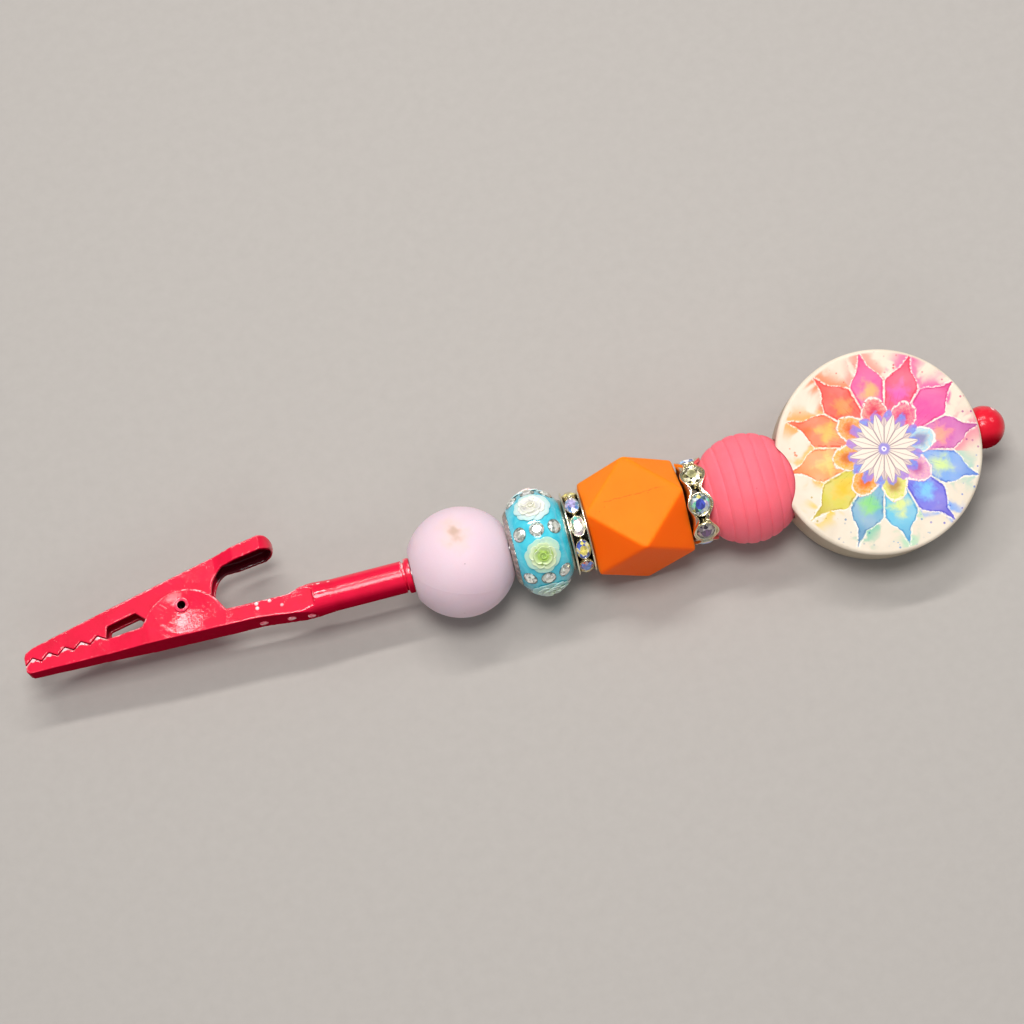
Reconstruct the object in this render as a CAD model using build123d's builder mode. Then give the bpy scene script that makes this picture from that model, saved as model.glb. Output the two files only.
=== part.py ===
from build123d import *
import math
import os

# A beaded sectioning clip: an alligator clip whose rolled barrel holds a rod of beads, closed by an end ball.
# X runs along the rod from the jaw tips to the end ball, Y points to the lever's side and Z is up.
# The clip lies on its two round beads. The origin is at the middle of its footprint, on the table.

# ---- driving dimensions, millimetres and degrees ----
LENGTH = 135.6          # jaw tip to end ball
ROUND_R = 7.5           # round silicone beads
ROD_R = 1.0
BORE_R = 1.06           # bores that turn on the rod
BEAD_GAP = 0.1          # between neighbours on the rod

SHEET = 0.5             # clip's sheet steel
PIVOT = (-45.5, 3.2)    # rivet's axis, in X and Y
JAW_HALF_WIDTH = 1.35   # at the tips
EAR_HALF_WIDTH = 2.4    # across the lower jaw's ears
ARM_HALF_WIDTH = 1.8    # upper jaw between the ears
TAIL_HALF_WIDTH = 3.1   # squeeze lever
TEETH = 5
TOOTH_DEPTH = 0.8
TOOTH_GAP = 0.12        # between the closed rows of teeth
MOUTH_END_X = -56.4     # where the rows of teeth stop
LEVER_NOSE = (-66.3, 3.0)   # upper jaw's top edge, in X and Y, from the nose to the end of its tail
LEVER_BEND = (-40.2, 8.9)
LEVER_TAIL = (-33.4, 10.0)
LEVER_END_X = -32.1
UPPER_EAR_R = 2.6       # upper jaw's ear, round the rivet, behind the lower jaw's
BARREL_R = 2.2
BARREL_START_X = -28.1
BARREL_END_X = -15.7
CREASE_R = 2.38         # where the channel is rolled into the barrel
CREASE_LENGTH = 2.6     # from there the barrel narrows to its own radius
SEAM_WIDTH = 0.2        # where the rolled barrel's edges meet

SHANK_R = 0.75          # rivet
RIVET_HOLE_R = 0.5
FLANGE_R = 1.0
FLANGE_T = 0.25
PIVOT_CLEARANCE = 0.05

WIRE_R = 0.2            # torsion spring
COIL_R = 1.15
COIL_PITCH = 0.42
COIL_TURNS = 2 + 128.3 / 360
SPRING_START = 249.3    # where the wire meets the coil, degrees round the rivet
LEG_LENGTH = 6.6

FOOT_R = 1.7            # rod's swaged foot, inside the barrel
FOOT_START_X = -27.0
FOOT_END_X = -16.0
THREAD_R = 0.95         # rod's end, inside the ball
COLLAR_R = 2.4
COLLAR_LENGTH = 0.8

LAVENDER_X = -7.8       # the first bead's centre along the rod
LAVENDER_LENGTH = 13.4

BLUE_LENGTH = 8.05
BLUE_R = 6.95
BLUE_END_R = 4.8
CORE_R = 2.3
CORE_WALL = 0.3
GROMMET_R = 4.5
GROMMET_T = 0.3
FLOWERS = 6
FLOWER_R = 2.5
FLOWER_START = -33.5    # first flower's angle from straight up, towards the lever's side
FLOWER_LAYERS = ((2.5, 0.0, 0.45), (1.9, 0.45, 0.62), (1.3, 0.62, 0.75))   # radius, bottom and top
FLOWER_SEAT = 0.55      # depth of the flowers' seats
CHIPS_PER_ROW = 3
CHIP_R = 1.0
CHIP_PITCH = 2.4
CHIP_SEAT = 0.45        # depth of the stones' seats

SPACER_LENGTH = 2.55
SPACER_R = 5.7
SPACER_HUB_R = 4.3
RIM_T = 0.24
SPACER_STONES = 10
SPACER_START = -9.6
SPACER_STONE_R = 1.0

ORANGE_HALF = 6.65      # from the faceted bead's centre to each square face
ORANGE_SOFTEN = 0.45

WAVY_LENGTH = 1.9
WAVY_HUB_R = 4.4
WAVY_BAND_R = 5.3
WAVY_LOBE_R = 1.7
WAVY_WAIST = 1.7
WAVY_STONES = 8
WAVY_START = -23.0
CUP_R = 1.45
CUP_TOP_R = 5.75
CUP_FLOOR_R = 5.2
WAVY_STONE_R = 1.2

PINK_LENGTH = 13.5
PINK_RIBS = 8
RIB_DEPTH = 0.3

DISC_R = 13.8
DISC_T = 9.0
DISC_EDGE = 0.5
BALL_R = 2.9
BALL_NEST = 1.6         # how far the end ball sits into the disc's rim
SEAT_GAP = 0.1
BALL_HOLE_DEPTH = 3.3

# ---- places that follow ----
ROD_Z = ROUND_R
TIP_X = -LENGTH / 2
BALL_X = LENGTH / 2 - BALL_R
COLLAR_END_X = LAVENDER_X - LAVENDER_LENGTH / 2 - BEAD_GAP
BLUE_X = LAVENDER_X + LAVENDER_LENGTH / 2 + BEAD_GAP + BLUE_LENGTH / 2
SPACER_X = BLUE_X + BLUE_LENGTH / 2 + BEAD_GAP + SPACER_LENGTH / 2
ORANGE_X = SPACER_X + SPACER_LENGTH / 2 + BEAD_GAP + ORANGE_HALF
WAVY_START_X = ORANGE_X + ORANGE_HALF + BEAD_GAP
WAVY_X = WAVY_START_X + WAVY_LOBE_R
PINK_X = WAVY_START_X + WAVY_LENGTH + BEAD_GAP + PINK_LENGTH / 2
DISC_X = BALL_X - BALL_R + BALL_NEST - DISC_R
DISC_TILT = math.degrees(
    math.asin((ROUND_R - DISC_EDGE) / math.hypot(DISC_R - DISC_EDGE, DISC_T / 2 - DISC_EDGE))
    - math.atan2(DISC_T / 2 - DISC_EDGE, DISC_R - DISC_EDGE)
)                       # tips the disc until its lower rim meets the table

ROD_AXIS = Axis((0, 0, ROD_Z), (1, 0, 0))
SIDE = Plane.XY.offset(ROD_Z)                                            # local x, y are X, Y
PLAN = Plane(origin=(0, 0, ROD_Z), x_dir=(1, 0, 0), z_dir=(0, -1, 0))    # local x is X, local y is height


def across(x):
    """The plane square to the rod at this X."""
    return Plane(origin=(x, 0, ROD_Z), x_dir=(0, 1, 0), z_dir=(1, 0, 0))


def outward(x, angle, radius, lean=0.0):
    """A plane at this radius facing away from the rod; angle 0 is up and lean tips it along the rod."""
    turn = math.radians(angle)
    tip = math.radians(lean)
    spoke = Vector(0, math.sin(turn), math.cos(turn))
    normal = spoke * math.cos(tip) + Vector(math.sin(tip), 0, 0)
    return Plane(
        origin=Vector(x, 0, ROD_Z) + spoke * radius,
        x_dir=Vector(math.cos(tip), 0, 0) - spoke * math.sin(tip),
        z_dir=normal,
    )


def lathe(points):
    """A solid turned about the rod's axis from a closed outline of X and radius."""
    with BuildPart() as turned:
        with BuildSketch(PLAN):
            with BuildLine():
                Polyline(*points, close=True)
            make_face()
        revolve(axis=ROD_AXIS)
    return turned.part


def cut_stone(girdle_r, crown, pavilion):
    """A stone cut with eight sides: flat table towards +Z, sloping crown and a blunt pavilion."""
    with BuildPart() as stone:
        with BuildSketch(Plane.XY):
            RegularPolygon(girdle_r, 8)
        with BuildSketch(Plane.XY.offset(crown)):
            RegularPolygon(0.6 * girdle_r, 8, rotation=22.5)
        loft()
        with BuildSketch(Plane.XY):
            RegularPolygon(girdle_r, 8)
        with BuildSketch(Plane.XY.offset(-pavilion)):
            RegularPolygon(0.3 * girdle_r, 8)
        loft()
    return stone.part


# ---- clip: both jaws are pressed channels ----
def tooth_points(clearance):
    """The zigzag between the closed jaws, from the tip to the mouth's end, moved up by the clearance."""
    points = []
    steps = 2 * TEETH
    for step in range(steps + 1):
        share = step / steps
        x = TIP_X + share * (MOUTH_END_X - TIP_X)
        middle = 1.1 + 0.8 * share
        swing = TOOTH_DEPTH / 2 if step % 2 else -TOOTH_DEPTH / 2
        points.append((x, middle + swing + clearance))
    return points


def channel(walls, inner_floor, plan, limit=None):
    """A pressed sheet channel: walls seen from the side, trimmed to the plan, less the space one sheet in."""
    with BuildPart() as space:
        with BuildSketch(PLAN):
            add(plan)
            offset(amount=-SHEET, kind=Kind.INTERSECTION)
        extrude(amount=20, both=True)
        with BuildSketch(SIDE):
            with BuildLine():
                Polyline(*inner_floor, close=True)
            make_face()
        extrude(amount=5, both=True, mode=Mode.INTERSECT)
        if limit:
            add(limit(SHEET), mode=Mode.INTERSECT)
    with BuildPart() as pressed:
        with BuildSketch(PLAN):
            add(plan)
        extrude(amount=20, both=True)
        with BuildSketch(SIDE):
            add(walls)
        extrude(amount=5, both=True, mode=Mode.INTERSECT)
        if limit:
            add(limit(0), mode=Mode.INTERSECT)
        add(space.part, mode=Mode.SUBTRACT)
    return pressed.part


with BuildSketch() as lower_plan:
    with BuildLine():
        half = [
            (TIP_X, JAW_HALF_WIDTH),
            (-58.8, 1.7),
            (-56.0, ARM_HALF_WIDTH),
            (-50.6, EAR_HALF_WIDTH),
            (-39.5, EAR_HALF_WIDTH),
            (-31.0, BARREL_R - 0.1),
            (BARREL_START_X, BARREL_R - 0.2),
        ]
        Polyline(*half, *[(x, -w) for x, w in reversed(half)], close=True)
    make_face()

with BuildSketch() as lower_walls:
    with BuildLine():
        Polyline(*tooth_points(-TOOTH_GAP / 2), (-55.0, 1.5), (-51.4, 1.7), (-50.75, 2.4))
        ThreePointArc((-50.75, 2.4), (PIVOT[0], 5.4), (-40.3, 2.1))
        Polyline((-40.3, 2.1), (-39.8, 1.2), (-31.5, 1.1), (BARREL_START_X, 2.2), (BARREL_START_X, -BARREL_R))
        Polyline(
            (BARREL_START_X, -BARREL_R),
            (-31.0, -1.75),
            (-35.5, -1.2),
            (-48.0, -0.9),
            (TIP_X + 0.5, -0.5),
            (TIP_X, -0.2),
            tooth_points(-TOOTH_GAP / 2)[0],
        )
    make_face()

LOWER_SPACE = [
    (TIP_X, 20),
    (TIP_X, -0.5 + SHEET),
    (-48.0, -0.9 + SHEET),
    (-35.5, -1.2 + SHEET),
    (-31.0, -1.75 + SHEET),
    (BARREL_START_X + 1, -BARREL_R + SHEET),
    (BARREL_START_X + 1, 20),
]


def rolling_limit(inset):
    """A turned solid that rounds the channel's corners off where it is rolled towards the barrel."""
    return lathe([
        (TIP_X - 1, 0),
        (TIP_X - 1, 12),
        (-38.0, 12),
        (-35.0, 3.6 - inset),
        (BARREL_START_X, CREASE_R - inset),
        (BARREL_START_X + 1, CREASE_R - inset),
        (BARREL_START_X + 1, 0),
    ])


with BuildPart() as lower_jaw:
    add(channel(lower_walls.sketch, LOWER_SPACE, lower_plan.sketch, rolling_limit))
    add(
        lathe([
            (BARREL_START_X, 0),
            (BARREL_START_X, CREASE_R),
            (BARREL_START_X + CREASE_LENGTH, BARREL_R),
            (BARREL_END_X, BARREL_R),
            (BARREL_END_X, 0),
        ])
    )
    with BuildSketch(across(BARREL_START_X - 1)):
        Circle(BARREL_R - SHEET)
    extrude(amount=20, mode=Mode.SUBTRACT)
    with BuildSketch(SIDE):
        with Locations(((BARREL_START_X + BARREL_END_X) / 2, BARREL_R)):
            Rectangle(BARREL_END_X - BARREL_START_X + 2, 2 * SHEET + 1)
    extrude(amount=SEAM_WIDTH / 2, both=True, mode=Mode.SUBTRACT)
    with BuildSketch(SIDE):
        with Locations(PIVOT):
            Circle(SHANK_R)
    extrude(amount=5, both=True, mode=Mode.SUBTRACT)

with BuildSketch() as upper_plan:
    with BuildLine():
        half = [
            (TIP_X, JAW_HALF_WIDTH),
            (-58.8, 1.7),
            (-55.0, ARM_HALF_WIDTH),
            (-40.2, ARM_HALF_WIDTH),
            (-37.4, 2.9),
            (-33.6, TAIL_HALF_WIDTH),
        ]
        Polyline(*[(x, -w) for x, w in reversed(half)], *half)
        ThreePointArc(half[-1], (LEVER_END_X, 0), (half[-1][0], -half[-1][1]))
    make_face()

with BuildSketch() as upper_walls:
    with BuildLine():
        Polyline(
            *tooth_points(TOOTH_GAP / 2),
            (-56.0, 3.1),
            (-51.9, 3.96),
            (-50.0, 2.0),
            (PIVOT[0] - 2.1, PIVOT[1] - 1.53),
        )
        ThreePointArc(
            (PIVOT[0] - 2.1, PIVOT[1] - 1.53),
            (PIVOT[0], PIVOT[1] - UPPER_EAR_R),
            (PIVOT[0] + 2.1, PIVOT[1] - 1.53),
        )
        Line((PIVOT[0] + 2.1, PIVOT[1] - 1.53), (-41.3, 4.0))
        ThreePointArc((-41.3, 4.0), (-40.5, 6.1), (-39.2, 7.2))
        Line((-39.2, 7.2), (-32.9, 8.1))
        ThreePointArc((-32.9, 8.1), (LEVER_END_X, 9.15), LEVER_TAIL)
        Polyline(
            LEVER_TAIL,
            LEVER_BEND,
            LEVER_NOSE,
            (TIP_X + 0.3, 2.5),
            (TIP_X, 1.9),
            tooth_points(TOOTH_GAP / 2)[0],
        )
    make_face()

UPPER_SPACE = [
    (TIP_X, -20),
    (TIP_X, 1.9),
    (LEVER_NOSE[0], LEVER_NOSE[1] - SHEET),
    (LEVER_BEND[0], LEVER_BEND[1] - SHEET),
    (LEVER_TAIL[0], LEVER_TAIL[1] - SHEET),
    (LEVER_END_X, 9.2 - SHEET),
    (LEVER_END_X, -20),
]

with BuildPart() as upper_jaw:
    add(channel(upper_walls.sketch, UPPER_SPACE, upper_plan.sketch))
    with BuildSketch(SIDE):
        with Locations(PIVOT):
            Circle(SHANK_R + PIVOT_CLEARANCE)
    extrude(amount=5, both=True, mode=Mode.SUBTRACT)

with BuildPart() as pivot_rivet:
    with BuildSketch(SIDE):
        with Locations(PIVOT):
            Circle(SHANK_R)
    extrude(amount=EAR_HALF_WIDTH, both=True)
    for face_z in (EAR_HALF_WIDTH, -EAR_HALF_WIDTH - FLANGE_T):
        with BuildSketch(SIDE.offset(face_z)):
            with Locations(PIVOT):
                Circle(FLANGE_R)
        extrude(amount=FLANGE_T)
    fillet(edges().group_by(Axis.Z)[0], radius=0.12)
    fillet(edges().group_by(Axis.Z)[-1], radius=0.12)
    with BuildSketch(SIDE):
        with Locations(PIVOT):
            Circle(RIVET_HOLE_R)
    extrude(amount=5, both=True, mode=Mode.SUBTRACT)

with BuildPart() as torsion_spring:
    coil_frame = Plane(origin=(PIVOT[0], PIVOT[1], ROD_Z - COIL_PITCH * COIL_TURNS / 2)).rotated(
        (0, 0, SPRING_START)
    )
    coil = coil_frame.location * Helix(
        COIL_PITCH, COIL_PITCH * COIL_TURNS, COIL_R, lefthand=True, mode=Mode.PRIVATE
    )
    with BuildLine() as wire:
        Line((coil @ 0) - (coil % 0) * LEG_LENGTH, coil @ 0)
        add(coil)
        Line(coil @ 1, (coil @ 1) + (coil % 1) * LEG_LENGTH)
    with BuildSketch(Plane(origin=wire.line @ 0, z_dir=wire.line % 0)):
        Circle(WIRE_R)
    sweep(path=wire.line)

with BuildPart() as rod:
    add(
        lathe([
            (FOOT_START_X, 0),
            (FOOT_START_X, FOOT_R),
            (FOOT_END_X, FOOT_R),
            (FOOT_END_X, ROD_R),
            (BALL_X - BALL_R - 0.5, ROD_R),
            (BALL_X - BALL_R - 0.4, THREAD_R),
            (BALL_X, THREAD_R),
            (BALL_X, 0),
        ])
    )

with BuildPart() as stop_collar:
    with BuildSketch(across(COLLAR_END_X - COLLAR_LENGTH)):
        Circle(COLLAR_R)
    extrude(amount=COLLAR_LENGTH)
    fillet(edges(), radius=0.2)
    with BuildSketch(across(COLLAR_END_X - COLLAR_LENGTH)):
        Circle(ROD_R)
    extrude(amount=COLLAR_LENGTH, mode=Mode.SUBTRACT)

# ---- lavender bead ----
with BuildPart() as lavender_bead:
    with BuildSketch(PLAN):
        with BuildLine():
            end_r = math.sqrt(ROUND_R**2 - (LAVENDER_LENGTH / 2) ** 2)
            left = LAVENDER_X - LAVENDER_LENGTH / 2
            right = LAVENDER_X + LAVENDER_LENGTH / 2
            Polyline((left, end_r), (left, BORE_R), (right, BORE_R), (right, end_r))
            ThreePointArc((left, end_r), (LAVENDER_X, ROUND_R), (right, end_r))
        make_face()
    revolve(axis=ROD_AXIS)

# ---- resin bead: shell, sleeve, end rings, moulded flowers and stones ----
SHELL_HALF = BLUE_LENGTH / 2 - GROMMET_T
SHELL_CURVE_R = (SHELL_HALF**2 + (BLUE_R - BLUE_END_R) ** 2) / (2 * (BLUE_R - BLUE_END_R))


def shell_radius(offset_x):
    """Radius of the resin bead at a distance along the rod from its middle."""
    return BLUE_R - SHELL_CURVE_R + math.sqrt(SHELL_CURVE_R**2 - offset_x**2)


def chip_planes():
    """The stones' places: rows between the flowers, square to the bead's surface."""
    planes = []
    for row in range(FLOWERS):
        angle = FLOWER_START + (row + 0.5) * 360 / FLOWERS
        for place in range(CHIPS_PER_ROW):
            offset_x = (place - (CHIPS_PER_ROW - 1) / 2) * CHIP_PITCH
            lean = math.degrees(math.asin(offset_x / SHELL_CURVE_R))
            planes.append(outward(BLUE_X + offset_x, angle, shell_radius(offset_x), lean))
    return planes


with BuildPart() as blue_bead_shell:
    with BuildSketch(PLAN):
        with BuildLine():
            left = BLUE_X - SHELL_HALF
            right = BLUE_X + SHELL_HALF
            core_r = CORE_R + CORE_WALL
            Polyline((left, BLUE_END_R), (left, core_r), (right, core_r), (right, BLUE_END_R))
            ThreePointArc((left, BLUE_END_R), (BLUE_X, BLUE_R), (right, BLUE_END_R))
        make_face()
    revolve(axis=ROD_AXIS)
    for flower in range(FLOWERS):
        angle = FLOWER_START + flower * 360 / FLOWERS
        with BuildSketch(outward(BLUE_X, angle, BLUE_R - FLOWER_SEAT)):
            Circle(FLOWER_R + 0.02)
        extrude(amount=2, mode=Mode.SUBTRACT)
    for seat in chip_planes():
        with BuildSketch(seat.offset(-CHIP_SEAT)):
            Circle(CHIP_R + 0.02)
        extrude(amount=1, mode=Mode.SUBTRACT)

with BuildPart() as blue_bead_core:
    with BuildSketch(across(BLUE_X)):
        Circle(CORE_R + CORE_WALL)
        Circle(CORE_R, mode=Mode.SUBTRACT)
    extrude(amount=SHELL_HALF, both=True)

with BuildPart() as blue_bead_grommets:
    for start_x in (BLUE_X - BLUE_LENGTH / 2, BLUE_X + SHELL_HALF):
        with BuildSketch(across(start_x)):
            Circle(GROMMET_R)
            Circle(CORE_R, mode=Mode.SUBTRACT)
        extrude(amount=GROMMET_T)

with BuildPart() as blue_bead_roses:
    for flower in range(FLOWERS):
        angle = FLOWER_START + flower * 360 / FLOWERS
        for layer_r, bottom, top in FLOWER_LAYERS:
            with BuildSketch(outward(BLUE_X, angle, BLUE_R - FLOWER_SEAT + bottom)):
                Circle(layer_r)
            extrude(amount=top - bottom)

with BuildPart() as blue_bead_rhinestones:
    chip = cut_stone(CHIP_R, 0.32, 0.38)
    for seat in chip_planes():
        with Locations(seat.offset(-0.07).location):
            add(chip)

# ---- plain spacer: two rims on a hub, with a ring of stones between ----
spacer_left = SPACER_X - SPACER_LENGTH / 2
spacer_right = SPACER_X + SPACER_LENGTH / 2
with BuildPart() as spacer_ring:
    add(
        lathe([
            (spacer_left, BORE_R),
            (spacer_left, SPACER_R - 0.1),
            (spacer_left + 0.1, SPACER_R),
            (spacer_left + RIM_T, SPACER_R),
            (spacer_left + RIM_T, SPACER_HUB_R),
            (spacer_right - RIM_T, SPACER_HUB_R),
            (spacer_right - RIM_T, SPACER_R),
            (spacer_right - 0.1, SPACER_R),
            (spacer_right, SPACER_R - 0.1),
            (spacer_right, BORE_R),
        ])
    )

with BuildPart() as spacer_stones:
    stone = cut_stone(SPACER_STONE_R, 0.4, 0.7)
    for place in range(SPACER_STONES):
        angle = SPACER_START + place * 360 / SPACER_STONES
        with Locations(outward(SPACER_X, angle, SPACER_HUB_R + 0.75).location):
            add(stone)

# ---- faceted bead: a cube cut back at its corners to the middles of its edges, turned to stand on a face ----
with BuildPart() as orange_bead:
    with Locations((ORANGE_X, 0, ROD_Z)):
        Box(2 * ORANGE_HALF, 2 * ORANGE_HALF, 2 * ORANGE_HALF)
    for sx in (-1, 1):
        for sy in (-1, 1):
            for sz in (-1, 1):
                corner = Vector(sx, sy, sz)
                middle = Vector(ORANGE_X, 0, ROD_Z) + Vector(sx, sy, 0) * ORANGE_HALF
                split(bisect_by=Plane(origin=middle, z_dir=corner), keep=Keep.BOTTOM)
    fillet(edges(), radius=ORANGE_SOFTEN)
    with BuildSketch(across(ORANGE_X)):
        Circle(BORE_R)
    extrude(amount=ORANGE_HALF + 1, both=True, mode=Mode.SUBTRACT)

# ---- waved spacer: hub, scalloped band with cups, and stones ----
WAVY_ANGLES = [WAVY_START + place * 360 / WAVY_STONES for place in range(WAVY_STONES)]

with BuildPart() as wavy_spacer_hub:
    with BuildSketch(across(WAVY_START_X)):
        Circle(WAVY_HUB_R)
        Circle(BORE_R, mode=Mode.SUBTRACT)
    extrude(amount=WAVY_LENGTH)

with BuildPart() as scallops:
    for angle in WAVY_ANGLES:
        with BuildSketch(outward(WAVY_X, angle, WAVY_HUB_R - 1)):
            Circle(WAVY_LOBE_R)
        extrude(amount=4)
    with BuildSketch(across(WAVY_X)):
        Circle(WAVY_BAND_R + 1)
    extrude(amount=WAVY_WAIST / 2, both=True)

with BuildPart() as wavy_spacer_band:
    with BuildSketch(across(WAVY_START_X)):
        Circle(WAVY_BAND_R)
    extrude(amount=2 * WAVY_LOBE_R)
    add(scallops.part, mode=Mode.INTERSECT)
    for angle in WAVY_ANGLES:
        with BuildSketch(outward(WAVY_X, angle, WAVY_HUB_R)):
            Circle(CUP_R)
        extrude(amount=CUP_TOP_R - WAVY_HUB_R)
    for angle in WAVY_ANGLES:
        with BuildSketch(outward(WAVY_X, angle, CUP_FLOOR_R)):
            Circle(WAVY_STONE_R + 0.02)
        extrude(amount=1, mode=Mode.SUBTRACT)
    with BuildSketch(across(WAVY_START_X - 1)):
        Circle(WAVY_HUB_R)
    extrude(amount=6, mode=Mode.SUBTRACT)
    with Locations((PINK_X, 0, ROD_Z)):
        Sphere(ROUND_R + 0.25, mode=Mode.SUBTRACT)

with BuildPart() as wavy_spacer_stones:
    stone = cut_stone(WAVY_STONE_R, 0.4, 0.25)
    for angle in WAVY_ANGLES:
        with Locations(outward(WAVY_X, angle, CUP_FLOOR_R + 0.26).location):
            add(stone)

# ---- ribbed bead: round ribs whose crests lie on the bead's sphere ----
def pink_angle(groove):
    """Angle at the bead's centre, from the clip's side, of the groove with this number."""
    return math.acos((0.5 - groove / PINK_RIBS) * PINK_LENGTH / ROUND_R)


with BuildPart() as pink_ribbed_bead:
    with BuildSketch(PLAN):
        with BuildLine():
            left = PINK_X - PINK_LENGTH / 2
            right = PINK_X + PINK_LENGTH / 2
            end_r = math.sqrt(ROUND_R**2 - (PINK_LENGTH / 2) ** 2)
            Polyline((left, end_r), (left, BORE_R), (right, BORE_R), (right, end_r))
            valley = (left, end_r)
            for rib in range(PINK_RIBS):
                turn = (pink_angle(rib) + pink_angle(rib + 1)) / 2
                crest = (PINK_X - ROUND_R * math.cos(turn), ROUND_R * math.sin(turn))
                turn = pink_angle(rib + 1)
                low_r = ROUND_R - RIB_DEPTH
                next_valley = (PINK_X - low_r * math.cos(turn), low_r * math.sin(turn))
                if rib == PINK_RIBS - 1:
                    next_valley = (right, end_r)
                ThreePointArc(valley, crest, next_valley)
                valley = next_valley
        make_face()
    revolve(axis=ROD_AXIS)

# ---- focal disc, drilled across, with a seat at each end of its bore ----
tilt = math.radians(DISC_TILT)
DISC_PLANE = Plane(origin=(DISC_X, 0, ROD_Z), x_dir=(1, 0, 0), z_dir=(0, -math.sin(tilt), math.cos(tilt)))

with BuildPart() as focal_disc:
    with BuildSketch(DISC_PLANE):
        Circle(DISC_R)
    extrude(amount=DISC_T / 2, both=True)
    fillet(edges().filter_by(GeomType.CIRCLE), radius=DISC_EDGE)
    with BuildSketch(across(DISC_X)):
        Circle(BORE_R)
    extrude(amount=DISC_R + 1, both=True, mode=Mode.SUBTRACT)
    with Locations((PINK_X, 0, ROD_Z)):
        Sphere(ROUND_R + SEAT_GAP, mode=Mode.SUBTRACT)
    with Locations((BALL_X, 0, ROD_Z)):
        Sphere(BALL_R + SEAT_GAP, mode=Mode.SUBTRACT)

# ---- end ball, screwed on the rod ----
with BuildPart() as end_ball:
    with Locations((BALL_X, 0, ROD_Z)):
        Sphere(BALL_R)
    with BuildSketch(across(BALL_X - BALL_R - 1)):
        Circle(ROD_R)
    extrude(amount=BALL_HOLE_DEPTH + 1, mode=Mode.SUBTRACT)

pieces = {
    "lower_jaw": lower_jaw,
    "upper_jaw": upper_jaw,
    "pivot_rivet": pivot_rivet,
    "torsion_spring": torsion_spring,
    "rod": rod,
    "stop_collar": stop_collar,
    "lavender_bead": lavender_bead,
    "blue_bead_shell": blue_bead_shell,
    "blue_bead_core": blue_bead_core,
    "blue_bead_grommets": blue_bead_grommets,
    "blue_bead_roses": blue_bead_roses,
    "blue_bead_rhinestones": blue_bead_rhinestones,
    "spacer_ring": spacer_ring,
    "spacer_stones": spacer_stones,
    "orange_bead": orange_bead,
    "wavy_spacer_hub": wavy_spacer_hub,
    "wavy_spacer_band": wavy_spacer_band,
    "wavy_spacer_stones": wavy_spacer_stones,
    "pink_ribbed_bead": pink_ribbed_bead,
    "focal_disc": focal_disc,
    "end_ball": end_ball,
}

os.makedirs("parts", exist_ok=True)
for name, piece in pieces.items():
    piece.part.label = name
    export_step(piece.part, "parts/" + name + ".step")
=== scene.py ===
import math
import random
from functools import reduce
from types import SimpleNamespace

import bmesh
import bpy
from mathutils import Matrix, Vector


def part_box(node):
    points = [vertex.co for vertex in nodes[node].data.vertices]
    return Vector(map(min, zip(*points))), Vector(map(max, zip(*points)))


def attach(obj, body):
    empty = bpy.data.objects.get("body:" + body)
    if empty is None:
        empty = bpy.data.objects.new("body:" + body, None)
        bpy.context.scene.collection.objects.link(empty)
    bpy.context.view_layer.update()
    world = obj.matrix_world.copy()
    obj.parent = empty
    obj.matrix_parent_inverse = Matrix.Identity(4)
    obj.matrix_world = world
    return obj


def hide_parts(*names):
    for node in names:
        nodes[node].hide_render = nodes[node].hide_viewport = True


# A beaded sectioning clip: painted pressed-steel jaws, then a rod of silicone, resin and stone-set beads.
# Shapes are worked out in millimetres from the boxes of the CAD nodes. Every object's origin stays at the
# frame's own, so object coordinates in the materials are the frame's coordinates on every piece.

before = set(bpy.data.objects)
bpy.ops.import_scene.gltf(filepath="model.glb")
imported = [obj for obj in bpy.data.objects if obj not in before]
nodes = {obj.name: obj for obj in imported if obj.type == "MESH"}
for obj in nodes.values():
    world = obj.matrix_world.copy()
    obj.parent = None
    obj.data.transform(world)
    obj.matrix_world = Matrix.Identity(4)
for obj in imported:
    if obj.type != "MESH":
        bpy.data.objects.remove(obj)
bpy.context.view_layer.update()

MM = 0.001
random.seed(7)


def middle(node):
    """Middle of a CAD node's box, in millimetres."""
    low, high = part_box(node)
    return (low + high) / 2 / MM


def extent(node):
    """Size of a CAD node's box, in millimetres."""
    low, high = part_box(node)
    return (high - low) / MM


def round_node(node):
    """Middle along the rod, half length and radius of a round CAD node, in millimetres."""
    size = extent(node)
    return middle(node).x, size.x / 2, size.z / 2


AXIS = Vector((0, 0, middle("rod").z))      # the rod's axis crosses the frame's X = 0 plane here


def rgb(red, green, blue):
    """Linear colour of a display colour from 0 to 255."""
    shares = [value / 255 for value in (red, green, blue)]
    return tuple(s / 12.92 if s <= 0.04045 else ((s + 0.055) / 1.055) ** 2.4 for s in shares)


def palette(*shades):
    """Linear colours of several display colours."""
    return [rgb(*shade) for shade in shades]


def darker(colour, share):
    return tuple(value * share for value in colour)


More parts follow.
